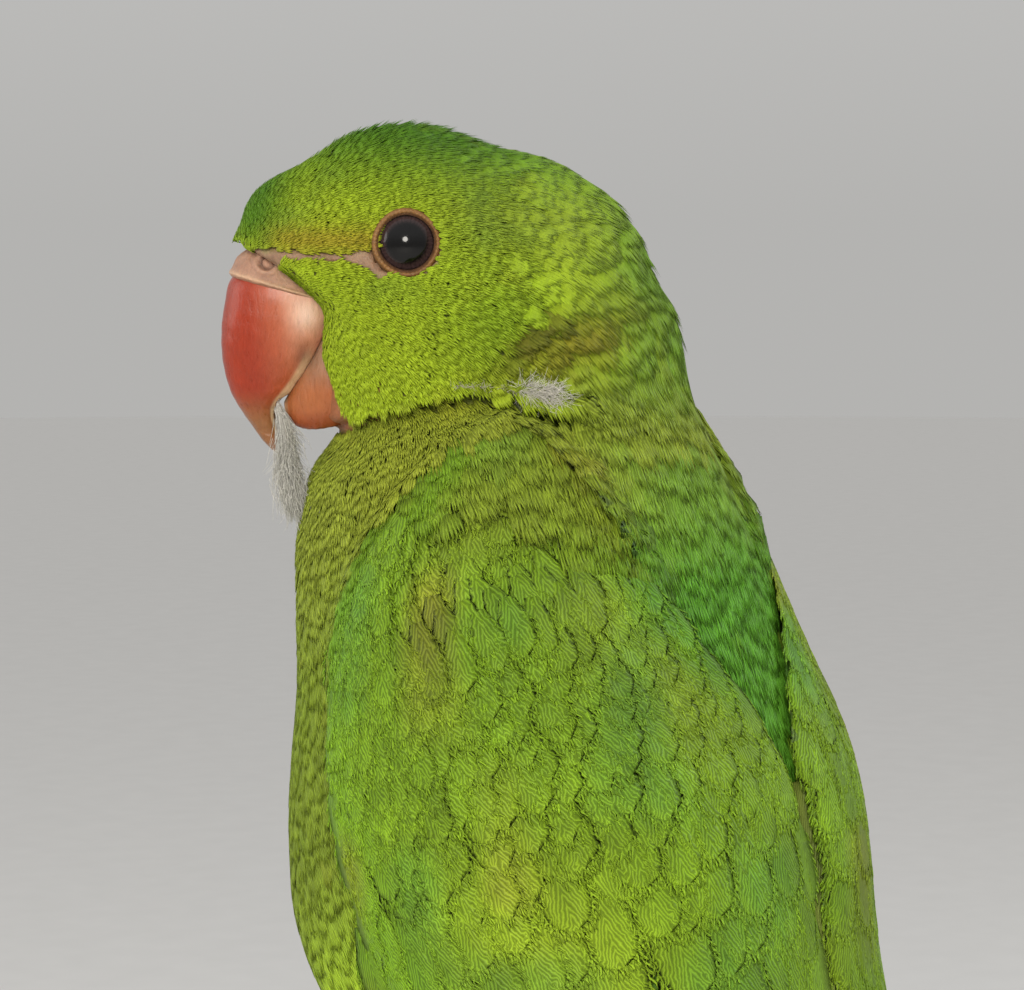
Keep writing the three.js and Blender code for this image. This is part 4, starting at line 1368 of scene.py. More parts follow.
def covert_outline(t):
    """Half width of a covert: narrow at the root, round at the tip."""
    swell = 0.4 + 0.6 * smooth(0, 0.5, t)
    return swell * np.sqrt(np.clip(1 - np.clip((t - 0.68) / 0.32, 0, 1) ** 2.4, 0, 1))


def flight_outline(t):
    """Half width of a long feather: nearly even, drawn to a blunt point."""
    swell = 0.62 + 0.38 * smooth(0, 0.3, t)
    return swell * np.clip(1 - np.clip((t - 0.6) / 0.4, 0, 1) ** 2.3, 0, 1) ** 0.75


def barb_tip(feather, t, x, side, turn, reach, sway, width):
    """One bent, pointed barb that stands out of the web's edge, which is turned from the shaft by turn."""
    half = width / 2
    step = (half * math.cos(turn), -side * half * math.sin(turn))
    out = side * (0.42 * (1 - turn / 1.6) + 0.06)
    rings = []
    for share, shrink, lift, bend in ((0, 1, 0.02, 0), (0.55, 0.8, 0.05, 1)):
        ahead, aside = -0.25 + reach * share, reach * out * share + sway * bend
        first = (ahead - step[0] * shrink, aside - step[1] * shrink, 0.0)
        last = (ahead + step[0] * shrink, aside + step[1] * shrink, 0.0)
        ridge = (ahead, aside, lift + 0.05)
        rings.append([feather.point(t, x, *place, 0.75 + 0.2 * share) for place in (first, ridge, last)])
    tip = feather.point(t, x, reach - 0.25, reach * out - sway * 0.3, -0.05, 1.0)
    if side < 0:
        rings = [ring[::-1] for ring in rings]
    spike(feather, rings, tip)


# Shares of the half width where a web has points, with its shaft's edges and without.
SHAFTED_WEB = (-1, -0.5, -0.05, 0, 0.05, 0.5, 1)
PLAIN_WEB = (-1, -0.5, 0, 0.5, 1)
EDGE_LIFT, MID_WEB_LIFT = 0.02, 0.05
OUTLINE_STEPS, BARBS_START = 400, 140  # of the outline's fine steps, the one where its barb tips start


def vane(outline, stations, spikes, reach, thickness, shaft, aspect, columns=SHAFTED_WEB, barb_width=0.4):
    """A feather with a shaft, two webs and a fringe of barb tips, which are about reach long. aspect is the
    feather's length over its width."""
    feather = Feather()
    lifts = {0: shaft, 0.05: EDGE_LIFT, 0.5: MID_WEB_LIFT, 1: 0}
    tops, bottoms = [], []
    for t in np.linspace(0, 1, stations) ** 0.9:
        half = float(outline(np.array(t)))
        row = []
        for c in columns:
            fringe = max(abs(c) ** 3 * 0.7, float(smooth(0.62, 1, t)) * 0.75) if abs(c) > 0.1 else 0
            row.append(feather.point(t, half * c, 0, 0, lifts[abs(c)] * (1 - 0.7 * t), fringe))
        tops.append(row)
        bottoms.append(feather.point(t, 0, 0, 0, -thickness))
    for i in range(stations - 1):
        near, far = tops[i], tops[i + 1]
        for c in range(len(columns) - 1):
            feather.quads.append((near[c], near[c + 1], far[c + 1], far[c]))
        feather.quads.append((near[-1], bottoms[i], bottoms[i + 1], far[-1]))
        feather.quads.append((bottoms[i], near[0], far[0], bottoms[i + 1]))
    for i, turn in ((0, 1), (stations - 1, -1)):
        row = tops[i][:: -turn] + [bottoms[i]]
        for k in range(1, len(row) - 1):
            feather.triangles.append((row[0], row[k], row[k + 1]))
    fine = np.linspace(0, 1, OUTLINE_STEPS)
    edge = np.stack([fine * aspect, outline(fine) * 0.5], -1)
    run = np.append(0, np.cumsum(np.linalg.norm(np.diff(edge, axis=0), axis=1)))
    grow = np.interp(np.linspace(run[BARBS_START], run[-1] * 0.995, spikes), run, fine)
    for side in (-1, 1):
        for k, t in enumerate(grow):
            x = side * float(outline(np.array(t))) * 0.9
            turn = float(smooth(0.55, 1.0, t)) * math.pi / 2
            length = reach * (0.75 + 0.5 * ((k * 5) % 7) / 6)
            sway = reach * 0.16 * (1 if k % 2 else -1)
            barb_tip(feather, t, x, side, turn, length, sway, barb_width)
    return feather.close()


# ---------------------------------------------------------------- laying feathers


def coat_flow(p, normal):
    """Unit direction in which the coat lies."""
    q = to_head(p)
    from_bill = unit(q - np.array([0, -15.0, -6.0])) @ HEAD_AXES
    head_way = from_bill + np.array([0, 0, -0.25])
    share = smooth(20, 42, np.linalg.norm(q, axis=-1))[..., None]
    way = head_way * (1 - share) + (ALONG_BODY + SIDEWAYS * (p[..., :1] * 0.006)) * share
    way = way - normal * (way * normal).sum(-1, keepdims=True)
    return unit(way)


def turned(way, normal, angle):
    """A direction turned round the normal."""
    side = np.cross(normal, way)
    return way * np.cos(angle)[..., None] + side * np.sin(angle)[..., None]


def scatter(points, spacing):
    """Which of the points to keep, so that each is its spacing away from all before it."""
    cell = float(spacing.max())
    keys = np.floor(points / cell).astype(int).tolist()
    places, reach = points.tolist(), (spacing**2).tolist()
    grid, kept = {}, []
    near = [(a, b, c) for a in (-1, 0, 1) for b in (-1, 0, 1) for c in (-1, 0, 1)]
    for i, (kx, ky, kz) in enumerate(keys):
        x, y, z = places[i]
        limit = reach[i]
        clear = True
        for a, b, c in near:
            for u, v, w in grid.get((kx + a, ky + b, kz + c), ()):
                if (x - u) ** 2 + (y - v) ** 2 + (z - w) ** 2 < limit:
                    clear = False
                    break
            if not clear:
                break
        if clear:
            kept.append(i)
            grid.setdefault((kx, ky, kz), []).append((x, y, z))
    return np.array(kept, int)


def spread_over(points, quads, count, rng):
    """Random points on a mesh, closer together where the feathers are small."""
    a, b, c, d = (points[quads[:, k]] for k in range(4))
    area = np.linalg.norm(np.cross(c - a, d - b), axis=1) / feather_spacing(feather_scale(a)) ** 2
    area *= (wing_cover(a) < 7) | (to_body(a)[0] > RUMP_START - 2)
    pick = rng.choice(len(quads), count, p=area / area.sum())
    u, v = rng.random((2, count, 1))
    return (a[pick] * (1 - u) + b[pick] * u) * (1 - v) + (d[pick] * (1 - u) + c[pick] * u) * v


def at_stations(values, t):
    """Values known at even stations, at shares t of the way: (n, k, 3) and (v) give (n, v, 3)."""
    last = values.shape[1] - 1
    i = np.clip((t * last).astype(int), 0, last - 1)
    f = (t * last - i)[None, :, None]
    return values[:, i] * (1 - f) + values[:, i + 1] * f


class Coat:
    """Collects laid feathers and makes one piece of them."""

    def __init__(self):
        self.parts = []

    def add(self, points, shape, tint, vane_place, bake, mirrored=False):
        count, corners = points.shape[:2]
        faces = copies([f[:, ::-1] if mirrored else f for f in shape.faces], count, corners)
        values = (tint.reshape(-1, 4), vane_place.reshape(-1, 3), bake.reshape(-1, 2))
        self.parts.append((points.reshape(-1, 3), faces, *values))

    def piece(self, name, material, slot, *nodes):
        points, faces, tint = join(self.parts)
        places, bake = (np.concatenate([p[k] for p in self.parts]) for k in (3, 4))
        made = add_piece(name, points, faces, material, tint, places, np.clip(bake, 0, 1))
        if nodes:
            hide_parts(*nodes)


PATCH = 0.003  # a feather's own patch on the map of its coat


def patch_of(shape):
    """Places of a feather's points in its patch, from the patch's middle."""
    t, x = shape.table[:, 0], shape.table[:, 1]
    return np.stack([x / 2, t - 0.5], -1)[None] * PATCH


def feather_tint(shape, base, fringe, rng, root_shade, spread):
    """Colour of every point of the feathers: darker at the root with painted shade, and like the fringe at
    the tips.
    """
    count = len(base)
    t, edge, number = shape.table[:, 0], shape.table[:, 5], shape.table[:, 6].astype(int)
    own = 1 + spread * rng.standard_normal((count, 1, 1))
    strand_tone = 1 + spread * rng.standard_normal((count, shape.strands))[:, number, None]
    # painted shade: lighter from the root towards the tip
    shade = (root_shade + (1.06 - root_shade) * smooth(0, 0.9, t))[None, :, None]
    tint = mix(base, fringe, np.broadcast_to(edge, (count, len(t))))
    coloured = tint * own * strand_tone * shade
    share = np.broadcast_to(edge[None, :, None], (count, len(t), 1))
    return np.concatenate([np.clip(coloured, 0, 1), share], -1)


SWAY = 0.1  # how far a feather's direction varies, in radians
SHAFT_STATIONS = 5


def lay(coat, shape, roots, unwrap, length, width, rng, field, tip, depth, camber, tones, wrap, stray):
    """Bends a feather over the surface at each root, along the flow of the coat. tip and depth say how high
    its tip and how deep its root lie, tones how bright its web and its fringe are. wrap bends it across as
    well, onto the field's surface."""
    count = len(roots)
    p, normal = roots, gradient(field, roots)
    way = turned(coat_flow(p, normal), normal, SWAY * rng.standard_normal(count))
    centres, ways, normals = [p], [way], [normal]
    for _ in range(SHAFT_STATIONS - 1):
        ahead = p + way * (length / (SHAFT_STATIONS - 1))[:, None]
        normal = gradient(field, ahead)
        ahead = ahead - normal * np.clip(field(ahead), -1.2, 1.2)[:, None]
        heading = unit(ahead - p)
        heading = heading - normal * (heading * normal).sum(-1, keepdims=True)
        way = unit(unit(heading) * 0.7 + coat_flow(ahead, normal) * 0.3)
        p = ahead
        centres.append(p)
        ways.append(way)
        normals.append(normal)
    t, x, along, across, up, _, number = shape.table.T
    number = number.astype(int)
    centre, way, normal = (at_stations(np.stack(v, 1), t) for v in (centres, ways, normals))
    side = unit(np.cross(normal, way))
    b = x * width[:, None] / 2 + across
    b = b + rng.standard_normal((count, shape.strands))[:, number] * stray * width[:, None] * t
    stretch = 1 + 0.07 * rng.standard_normal((count, shape.strands))[:, number] * t
    a = along + (stretch - 1) * (length[:, None] * t)
    loose = np.abs(rng.standard_normal((count, shape.strands)))[:, number] * 0.3 * stray * t**2
    h = -depth * (1 - t) ** 1.3 + tip[:, None] * t**2 + up + loose * width[:, None] - camber * x**2
    points = centre + way * a[..., None] + side * b[..., None]
    if wrap:
        h = h - np.clip(field(points), -1, 1)
    points = points + normal * h[..., None]
    base = coat_colour(roots)[:, None]
    core, rim = tones
    tint = feather_tint(shape, base * core, base * rim, rng, root_shade=1.0, spread=0.035)
    seed = np.broadcast_to(rng.random((count, 1)) * 6.28, b.shape)
    places = np.stack([b, t * length[:, None] + a, seed], -1)
    coat.add(points, shape, tint, places, unwrap(roots)[:, None] + patch_of(shape))


def head_map(p):
    """The head's skin laid flat round the nape, which is at the middle of the map."""
    q = unit(to_head(p))
    polar = np.arccos(np.clip(q[..., 1], -1, 1)) / np.pi
    turn = np.arctan2(q[..., 2], q[..., 0])
    return 0.5 + 0.49 * polar[..., None] * np.stack([np.cos(turn), np.sin(turn)], -1)


def body_map(p):
    """The body's skin unrolled round its length."""
    s, x, n = to_body(p)
    turn = (np.arctan2(x, -n) / (2 * np.pi) + 0.5) * 0.98 + 0.01
    return np.stack([turn, (s + 45) / 190 * 0.98 + 0.01], -1)


# ---------------------------------------------------------------- coat of the head and the body

RUMP_START, COAT_END = 68, 130  # down the back
ROOT_TRIALS, QUICK_ROOT_TRIALS, ROOT_CELL = 190000, 60000, 2.5
# From which size on to which a shape is used, the shape, its width and how far its barbs stray.
COAT_SHAPES = (
    (0.0, 0.68, tuft(4, 0.32, 0.07), 2.15, 0.09),
    (0.68, 1.0, tuft(6, 0.34, 0.07), 2.2, 0.06),
    (1.0, 1.4, barbed(12, 0.46), 2.6, 0.025),
    (1.4, 9.0, barbed(16, 0.52), 2.7, 0.02),
)


def feather_growth(size):
    return size**1.1


def feather_spacing(size):
    return 0.98 * feather_growth(size)


def wing_cover(p):
    """How many millimetres a point of the body lies inside the folded wing's outline."""
    s, degrees, _ = wing_position(p)
    u, _ = wing_share(s, degrees)
    lower, upper, _ = np.moveaxis(wing_station(s), -1, 0)
    across = np.minimum(u, 1 - u) * (upper - lower) * 0.6
    return np.minimum(across, np.minimum(s - WING_START, WING_END - s))


def feather_scale(p):
    """Size of the coat's feathers: smallest on the face, growing down the neck."""
    q = to_head(p)
    reach = np.linalg.norm(q - [0, -14, -8], axis=-1)
    size = 0.47 + 0.14 * smooth(3, 26, reach) + 0.34 * smooth(22, 36, reach)
    size = size + 0.45 * smooth(34, 52, reach) + 0.2 * smooth(50, 100, reach)
    size = size + 0.16 * smooth(6, 13, q[..., 2]) * (reach < 40)
    _, degrees, _ = wing_position(p)
    size = size + 0.45 * smooth(112, 132, degrees) * smooth(32, 42, reach) * (1 - smooth(72, 110, reach))
    near_eye = 1 - smooth(4.5, 9, eye_offset(q))
    size = size - 0.1 * near_eye * (np.linalg.norm(q, axis=-1) < INNER_HEAD)
    thigh = p[..., 2] < PERCH_HEIGHT + 36
    return np.where(thigh & (np.abs(p[..., 1]) < 18), np.minimum(size, 1.5), size)


def coat_roots(points, quads, rng):
    """Even roots over the body where feathers show, with the size of the feather at each."""
    p = spread_over(points, quads, ROOT_TRIALS, rng)
    p = settle(clothed_distance, p, rounds=2)
    s, degrees, _ = wing_position(p)
    p = p[on_mantle(p) | (wing_cover(p) < 1.5) | (s > RUMP_START) & (degrees > 128)]
    q = to_head(p)
    reach, aside = np.linalg.norm(q, axis=1), np.abs(q[:, 0])
    # not on the bill, the bare ring and stripe, the nostrils, the feet or the perch
    beside_bill = (q[:, 2] > LINE_LOW + 1) & (q[:, 2] < LINE_HIGH) & (reach < HEAD_REACH)
    limit = 0.4 + 0.4 * np.maximum(aside - 5, 0)
    clear = ~beside_bill | (behind_feather_line(q) < limit) & (aside > 4.6)
    clear |= beside_bill & (behind_feather_line(q) < -0.3)
    away = q[:, 1] / np.maximum(eye_offset(q), 1)
    far = reach > INNER_HEAD
    clear &= (eye_offset(q) > LID_REACH - 0.3 * smooth(-0.2, 0.8, away)) | (aside < 5) | far
    clear &= (loral_share(q) < 0.25 + 0.6 * rng.random(len(p))) | far
    clear &= (np.hypot(q[:, 1] - NOSTRIL[0], q[:, 2] - NOSTRIL[1]) > 2.0) | (aside < 3)
    beside_feet = (np.abs(p[:, 1]) > 13) | (np.abs(p[:, 0]) > FEET_WIDTH / 2)
    clear &= beside_feet | (p[:, 2] > PERCH_HEIGHT + FOOT_TOP)
    clear &= np.hypot(p[:, 1], p[:, 2] - PERCH_HEIGHT) > PERCH_CLEARANCE + 0.6
    clear &= to_body(p)[0] < COAT_END
    p = p[clear]
    size = feather_scale(p)
    s, degrees, _ = wing_position(p)
    # closer together where the mantle meets the wing, and over the head; wider over the rump
    junction = bump(wing_share(s, degrees)[0], 1.0, 0.09) * smooth(-18, -13, s) * (1 - smooth(8, 16, s))
    spacing = feather_spacing(size) * (1 - 0.3 * junction) * (0.93 + 0.07 * smooth(0.8, 1.1, size))
    spacing = spacing * (1 + 0.09 * smooth(RUMP_START - 8, RUMP_START, s))
    kept = []
    for low, high in ((0, 1.15), (1.15, 1.9), (1.9, 9)):
        band = np.flatnonzero((size >= low) & (size < high))
        if len(band):
            kept.append(band[scatter(p[band], spacing[band])])
    kept = np.concatenate(kept)
    return p[kept], size[kept]


def on_mantle(p):
    """Where the feathers of the neck and shoulders lie over the front of the wing."""
    s, degrees, _ = wing_position(p)
    front = (s < 4 - 0.12 * np.maximum(148 - degrees, 0)) & (degrees > 122)
    inner_edge = (wing_share(s, degrees)[0] > 0.86) & (s < 26)
    return front | inner_edge


def wing_distance(p):
    """The outside of the folded wings."""
    s, degrees, r = wing_position(p)
    u, thick = wing_share(s, degrees)
    lower, upper, _ = np.moveaxis(wing_station(s), -1, 0)
    outside = r - (inner_radius(p, s, degrees) + WING_LIFT + thick)
    sideways = np.maximum(-u, u - 1) * np.radians(upper - lower) * r
    return np.maximum(np.maximum(outside, sideways), np.maximum(WING_START - s, s - WING_END))


def clothed_distance(p):
    """The coat with the wings in it, for the feathers that run up over their front edge."""
    return blend(coat_distance(p), wing_distance(p), 5)


def breast_distance(p):
    """The neck and shoulders with the wings in them, which turn into the trunk without them lower down."""
    share = smooth(2, 22, to_body(p)[0])
    return clothed_distance(p) * (1 - share) + coat_distance(p) * share


def overhang_distance(p):
    """The plumage without the steps under and behind the cheek, which the head's feathers hang over."""
    return blend(body_distance(p), thigh_distance(p), 3)


def build_coat():
    """Lays the feathers of the head and body, one piece for each region and side."""
    rng = np.random.default_rng(7)
    points, quads = surface_nets(clothed_distance, (-42, -50, 100), (42, 58, 306), ROOT_CELL)
    roots, size = coat_roots(points, quads, rng)
    q = to_head(roots)
    reach = np.linalg.norm(q, axis=1)
    s, across, n = to_body(roots)
    head = (reach < HEAD_REACH) & (below_crease(q) < 0.3) | (reach < INNER_HEAD)
    thigh = (np.abs(thigh_distance(roots)) < 1.2) & (roots[:, 2] < PERCH_HEIGHT + 37) & (roots[:, 1] < 14)
    rump = (s > RUMP_START) & ~head & ~thigh
    neck = (s < -2) & ~head & ~thigh
    front = (n < 4) & ~(head | thigh | rump | neck)
    left = across > 0
    back = ~(head | thigh | rump | neck | front)
    groups = {
        "head_coat_left": (head & (q[:, 0] >= 0), head_map, "head_feathers"),
        "head_coat_right": (head & (q[:, 0] < 0), head_map, "head_feathers"),
        "neck_coat_left": (neck & left, body_map, "neck_feathers"),
        "neck_coat_right": (neck & ~left, body_map, "neck_feathers"),
        "breast_coat_left": (front & left, body_map, "body_feathers"),
        "breast_coat_right": (front & ~left, body_map, "body_feathers"),
        "back_coat": (back, body_map, "body_feathers"),
        "rump_coat": (rump, body_map, "rump_feathers"),
        "thigh_coat": (thigh, body_map, "body_feathers"),
    }
    # the shapes mingle where one takes over from the next
    pick = np.maximum(size * (1 + 0.09 * rng.standard_normal(len(size))), 0)
    for name, (chosen, unwrap, slot) in groups.items():
        coat = Coat()
        field = overhang_distance if name.startswith("head") else coat_distance
        if name.startswith(("neck", "back", "breast")):
            field = breast_distance
        for low, high, shape, broad, stray in COAT_SHAPES:
            part = np.flatnonzero(chosen & (pick >= low) & (pick < high))
            if not len(part):
                continue
            big = size[part]
            p = settle(field, roots[part], rounds=4)
            qp = to_head(p)
            small = low < 1
            long = (3.4 if small else 3.9) * feather_growth(big) * (1 + 0.14 * rng.standard_normal(len(p)))
            wide = broad * feather_growth(big)
            # the ear's, the brow's and the nape's feathers stand off more than the rest
            ear = bump(behind_fold(qp), -1.2, 2) * bump(qp[:, 2], -10.5, 4.5) * (np.abs(qp[:, 0]) > 6)
            brow = smooth(9, 15, qp[:, 2]) + smooth(16, 24, qp[:, 1]) * smooth(-26, -10, qp[:, 2])
            loose = (0.05 + 0.05 * big if small else 0.05) + 0.9 * ear
            loose = loose + 0.35 * np.clip(brow, 0, 1) * (reach[part] < HEAD_REACH)
            tip = loose * np.abs(1 + 0.5 * rng.standard_normal(len(p)))
            depth = 0.4 * min(big.mean(), 1) if small else 0.12
            camber = 0.1 * big.mean()
            tones = (0.98, 1.12) if small else (1.04, 1.04)
            lay(coat, shape, p, unwrap, long, wide, rng, field, tip, depth, camber, tones, not small, stray)
        coat.piece(name, TUFT if name.startswith("head") else SOFT_VANE, slot)


# ---------------------------------------------------------------- plumage of the wings

COURSE_STATIONS = 9


def wing_colour(s, u, p):
    """Base colour of the folded wing, from its leading edge (u 0) to its inner edge (u 1)."""
    wide = lattice_noise(p, 11.0, 21)
    fine = lattice_noise(p, 4.5, 22)
    tone = paint(
        tinted(p, (96, 128, 24)),
        ((126, 150, 32), bump(s, 48, 16) * bump(u, 0.38, 0.2)),
        ((100, 124, 30), bump(u, 0.82, 0.12) * smooth(2, 12, s) * (1 - smooth(24, 40, s))),
        ((78, 122, 28), smooth(0.86, 0.98, u) * smooth(-2, 10, s) * (1 - smooth(20, 34, s))),
        ((112, 130, 34), (1 - smooth(-7, 7, s)) * smooth(0.3, 0.6, u)),
        ((104, 144, 30), (1 - smooth(0.07, 0.22, u)) * smooth(-12, -4, s) * 0.8),
        ((76, 124, 36), smooth(78, 104, s) * 0.8),
        ((66, 122, 46), np.clip(wide - 0.25, 0, 1) * 0.8),
        ((122, 112, 36), np.clip(-wide - 0.3, 0, 1) * 0.9),
    )
    return tone * (1 + 0.08 * fine[..., None])


def wing_course(side, s, u, length, turn):
    """Where feathers run on the folded wing: positions down the back, angles, leans and radii."""
    degrees = wing_angle(s, u)
    step = length / (COURSE_STATIONS - 1)
    places = []
    for _ in range(COURSE_STATIONS):
        share = np.clip(wing_share(s, degrees)[0], -0.2, 1.2)
        radius = body_radius(side, s, degrees) + 4
        rise = np.radians(wing_angle(s + 1, share) - wing_angle(s - 1, share)) / 2 * radius
        lean = np.arctan(np.clip(rise * 0.75, -0.7, 0.7)) + turn
        places.append((s, degrees, lean, radius))
        s = s + step * np.cos(lean)
        degrees = degrees + np.degrees(step * np.sin(lean) / radius)
    return np.array(places).transpose(1, 2, 0)


def lay_on_wing(coat, shape, side, s, u, length, width, rng, rise, camber, turn, root_shade, roll, sink,
                base=None, fringe=None):
    """Lays feathers on the folded wing from their roots, following the way it fans out. rise is how high
    their roots and tips lie, turn how far they lean from that way, roll how far one edge is up and sink
    how far they lie in the wing. Without a base colour they carry the wing's own markings."""
    course = wing_course(side, s, u, length, turn)
    t, x, along, across, up, _, _ = shape.table.T
    place, degrees, lean, radius = np.moveaxis(at_stations(np.moveaxis(course, 0, -1), t), -1, 0)
    b = x * width[:, None] / 2 + across
    a = np.broadcast_to(along, b.shape)
    place_s = place + a * np.cos(lean) - b * np.sin(lean)
    place_angle = degrees + np.degrees((a * np.sin(lean) + b * np.cos(lean)) / radius)
    low, high = rise
    curl = 0.03 * rng.standard_normal((len(s), 1)) * t**3
    arch = camber * (np.abs(x) ** 2) * (0.35 + 0.65 * t)
    height = low + (high - low) * t**0.8 + up - arch + curl + roll * x
    points = wing_point(side, place_s, place_angle, height - np.reshape(sink, (-1, 1)))
    if base is None:
        base = wing_colour(place_s, wing_share(place_s, place_angle)[0], points)
        fringe = paint(base * 1.14, ((140, 168, 36), np.full(place_s.shape, 0.2)))
    else:
        base, fringe = base[:, None], fringe[:, None]
    tint = feather_tint(shape, base, fringe, rng, root_shade=root_shade, spread=0.065)
    seed = np.broadcast_to(rng.random((len(s), 1)) * 6.28, b.shape)
    places = np.stack([b, t * length[:, None] + a, seed], -1)
    coat.add(points, shape, tint, places, wing_map(s, u)[:, None] + patch_of(shape), mirrored=side > 0)


def wing_map(s, u):
    """The folded wing laid flat: its angle across, and its length."""
    return 0.02 + 0.96 * np.stack([(wing_angle(s, u) - MAP_ANGLE[0]) / 136, (s + 20) / 180], -1)


# Coverts, by the position down the back: how much of each shows, and its width.
COVERT_STATIONS = (-18, 0, 24, 38, 50, 66)
COVERT_EXPOSED = (2.1, 2.3, 3.0, 5.0, 6.8, 9.0)
COVERT_WIDTH = (3.6, 4.3, 5.3, 7.1, 8.5, 9.6)
COVERT_START, COVERT_END = -17.5, 78
LONG_COVERT = 4  # how much of a greater covert shows, at least
PRIMARY_TIPS = (146.5, 147, 141, 134, 127, 120, 113, 107, 102)


def covert_rows(side, rng):
    """Roots of the coverts in staggered rows: place down the back, share across, how much shows, width."""
    rows = []
    s, number = COVERT_START, 0
    while s < COVERT_END:
        exposed = float(np.interp(s, COVERT_STATIONS, COVERT_EXPOSED))
        width = float(np.interp(s, COVERT_STATIONS, COVERT_WIDTH))
        lower, upper, _ = wing_station(np.array(s))
        arc = math.radians(upper - lower) * (float(body_radius(side, np.array(s), np.array(120.0))) + 4)
        count = max(2, round(arc / (width * 0.69)))
        for k in range(count):
            share = (k + (0.5 if number % 2 else 0.1)) / count
            if s > -11 or (share < 0.25 and s > -13):
                place = (s + rng.normal() * exposed * 0.17, share + rng.normal() * 0.13 / count)
                rows.append((*place, exposed, width))
        s += exposed
        number += 1
    return np.array(rows).T


def build_wings():
    small = vane(covert_outline, 6, 11, 1.5, 0.05, 0.0, 2.0, columns=PLAIN_WEB, barb_width=0.44)
    large = vane(covert_outline, 12, 24, 1.6, 0.06, 0.05, 2.3, barb_width=0.46)
    long = vane(flight_outline, 26, 60, 0.45, 0.22, 0.3, 9)
    for label, side in SIDES:
        rng = np.random.default_rng(44 + side)
        s, u, exposed, width = covert_rows(side, rng)
        for chosen, shape, kind in (
            (exposed < LONG_COVERT, small, "lesser"),
            (exposed >= LONG_COVERT, large, "greater"),
        ):
            coat = Coat()
            length = exposed[chosen] * np.interp(exposed[chosen], (2.5, 4.5, 6), (3.1, 2.75, 2.5))
            sway = 0.08 * rng.standard_normal(chosen.sum())
            under_mantle = (1 - smooth(-2, 6, s[chosen])) * smooth(0.25, 0.45, u[chosen])
            lay_on_wing(coat, shape, side, s[chosen], u[chosen], length, width[chosen], rng,
                        (-0.12, 0.0), 0.03, sway, 1.0, 0.02, 0.6 * under_mantle)
            coat.piece(f"{kind}_coverts_{label}", VANE, "wing_feathers")

        # the primaries, the secondaries and the inner quills, by position down the back and share across
        # at the root, the tip's position, width and level
        coat = Coat()
        quills = []
        for i, tip in enumerate(PRIMARY_TIPS):
            quills.append((34 + 1.5 * i, 0.035 + 0.05 * i, tip, 8.5 - 0.1 * i, -1.5 + 0.13 * i))
        for i in range(8):
            quills.append((42, 0.42 + 0.055 * i, 101 - 1.2 * i, 9.6, -0.6 + 0.06 * i))
        for i in range(5):
            quills.append((38, 0.84 + 0.035 * i, 96 - 4 * i, 10.5, -0.15 + 0.08 * i))
        s, u, tip, width, level = np.array(quills).T
        p = wing_point(side, s, wing_angle(s, u), 0)
        base = paint(
            tinted(p, (86, 140, 56)),
            ((112, 146, 50), smooth(0.3, 0.8, u)),
            ((106, 122, 52), smooth(0.8, 0.88, u)),
        )
        fringe = paint(base, ((168, 186, 72), 0.7))
        straight = np.zeros(1)
        for k in range(len(s)):
            one = slice(k, k + 1)
            rise = (level[k] - (1.6 if u[k] > 0.83 else 0.4), level[k])
            lay_on_wing(coat, long, side, s[one], u[one], (tip - s)[one] * 1.04, width[one], rng,
                        rise, 0.3, straight, 0.88, 0.12, 0.0, base[one], fringe[one])
        coat.piece(f"flight_feathers_{label}", QUILL, "flight_feathers", f"primaries_{label}")


# ---------------------------------------------------------------- tail

TAIL_START, TAIL_DROP, TAIL_MIDDLE = 126.3, -0.075, 4.1
# Length, width and level of each pair of feathers, from the middle pair outwards.
TAIL_PAIRS = (
    (127, 6, 1.5),
    (104, 7.4, 0.9),
    (84, 8.6, 0.3),
    (68, 9.5, -0.3),
    (54, 10.2, -0.9),
    (42, 10.8, -1.5),
)
TAIL_ROOT = 8.0  # how far the feathers reach in under the coverts


def tail_outline(t):
    """Half width of a tail feather: drawn to a point from a third of its length on."""
    swell = 0.8 + 0.2 * smooth(0, 0.25, t)
    return swell * np.clip(1 - np.clip((t - 0.35) / 0.65, 0, 1) ** 1.7, 0, 1) ** 0.9


def build_tail():
    rng = np.random.default_rng(70)
    shape = vane(tail_outline, 40, 70, 0.4, 0.3, 0.4, 12)
    coat = Coat()
    t, x, along, across, up, _, _ = shape.table.T
    way = unit(ALONG_BODY + TAIL_DROP * OUT_OF_BACK)
    out = unit(OUT_OF_BACK - (OUT_OF_BACK @ way) * way)
    root = from_body(TAIL_START - TAIL_ROOT, 0, TAIL_MIDDLE + 0.6)
    feathers = [(*pair, side) for pair in TAIL_PAIRS for side in (1, -1)]
    for number, (length, wide, level, side) in enumerate(feathers):
        run = t * (length + TAIL_ROOT) + along
        web = x * wide * 0.56 + across
        b = side * wide * (0.46 - 0.24 * t) + x * wide * 0.56 + across
        height = level + 0.12 * side + up - 0.5 * x**2 - 0.05 * wide * np.abs(b / wide) ** 2
        points = root + run[:, None] * way + b[:, None] * SIDEWAYS + height[:, None] * out
        # the middle feathers are the bluest
        base = paint(linear(112, 148, 52), ((70, 138, 96), np.clip(1 - number / 5, 0, 1) * 0.75))[None]
        tint = feather_tint(shape, base, paint(base, ((178, 188, 84), 0.6)), rng, 0.85, 0.03)
        tint[..., :3] = paint(tint[..., :3], ((150, 168, 84), smooth(0.8, 1, t) * 0.5))
        places = np.stack([web, run, np.full_like(run, number)], -1)
        column = (number + 0.5) / (len(feathers) + 1)
        bake = np.stack([column + x * 0.03, 0.02 + t * 0.94 * (length / 130)], -1)
        coat.add(points[None], shape, tint, places[None], bake[None])
    coat.piece("tail_feathers", QUILL, "tail_feathers", "tail")


# ---------------------------------------------------------------- loose down

WISP_BENDS, WISP_CURL = 4, 0.16
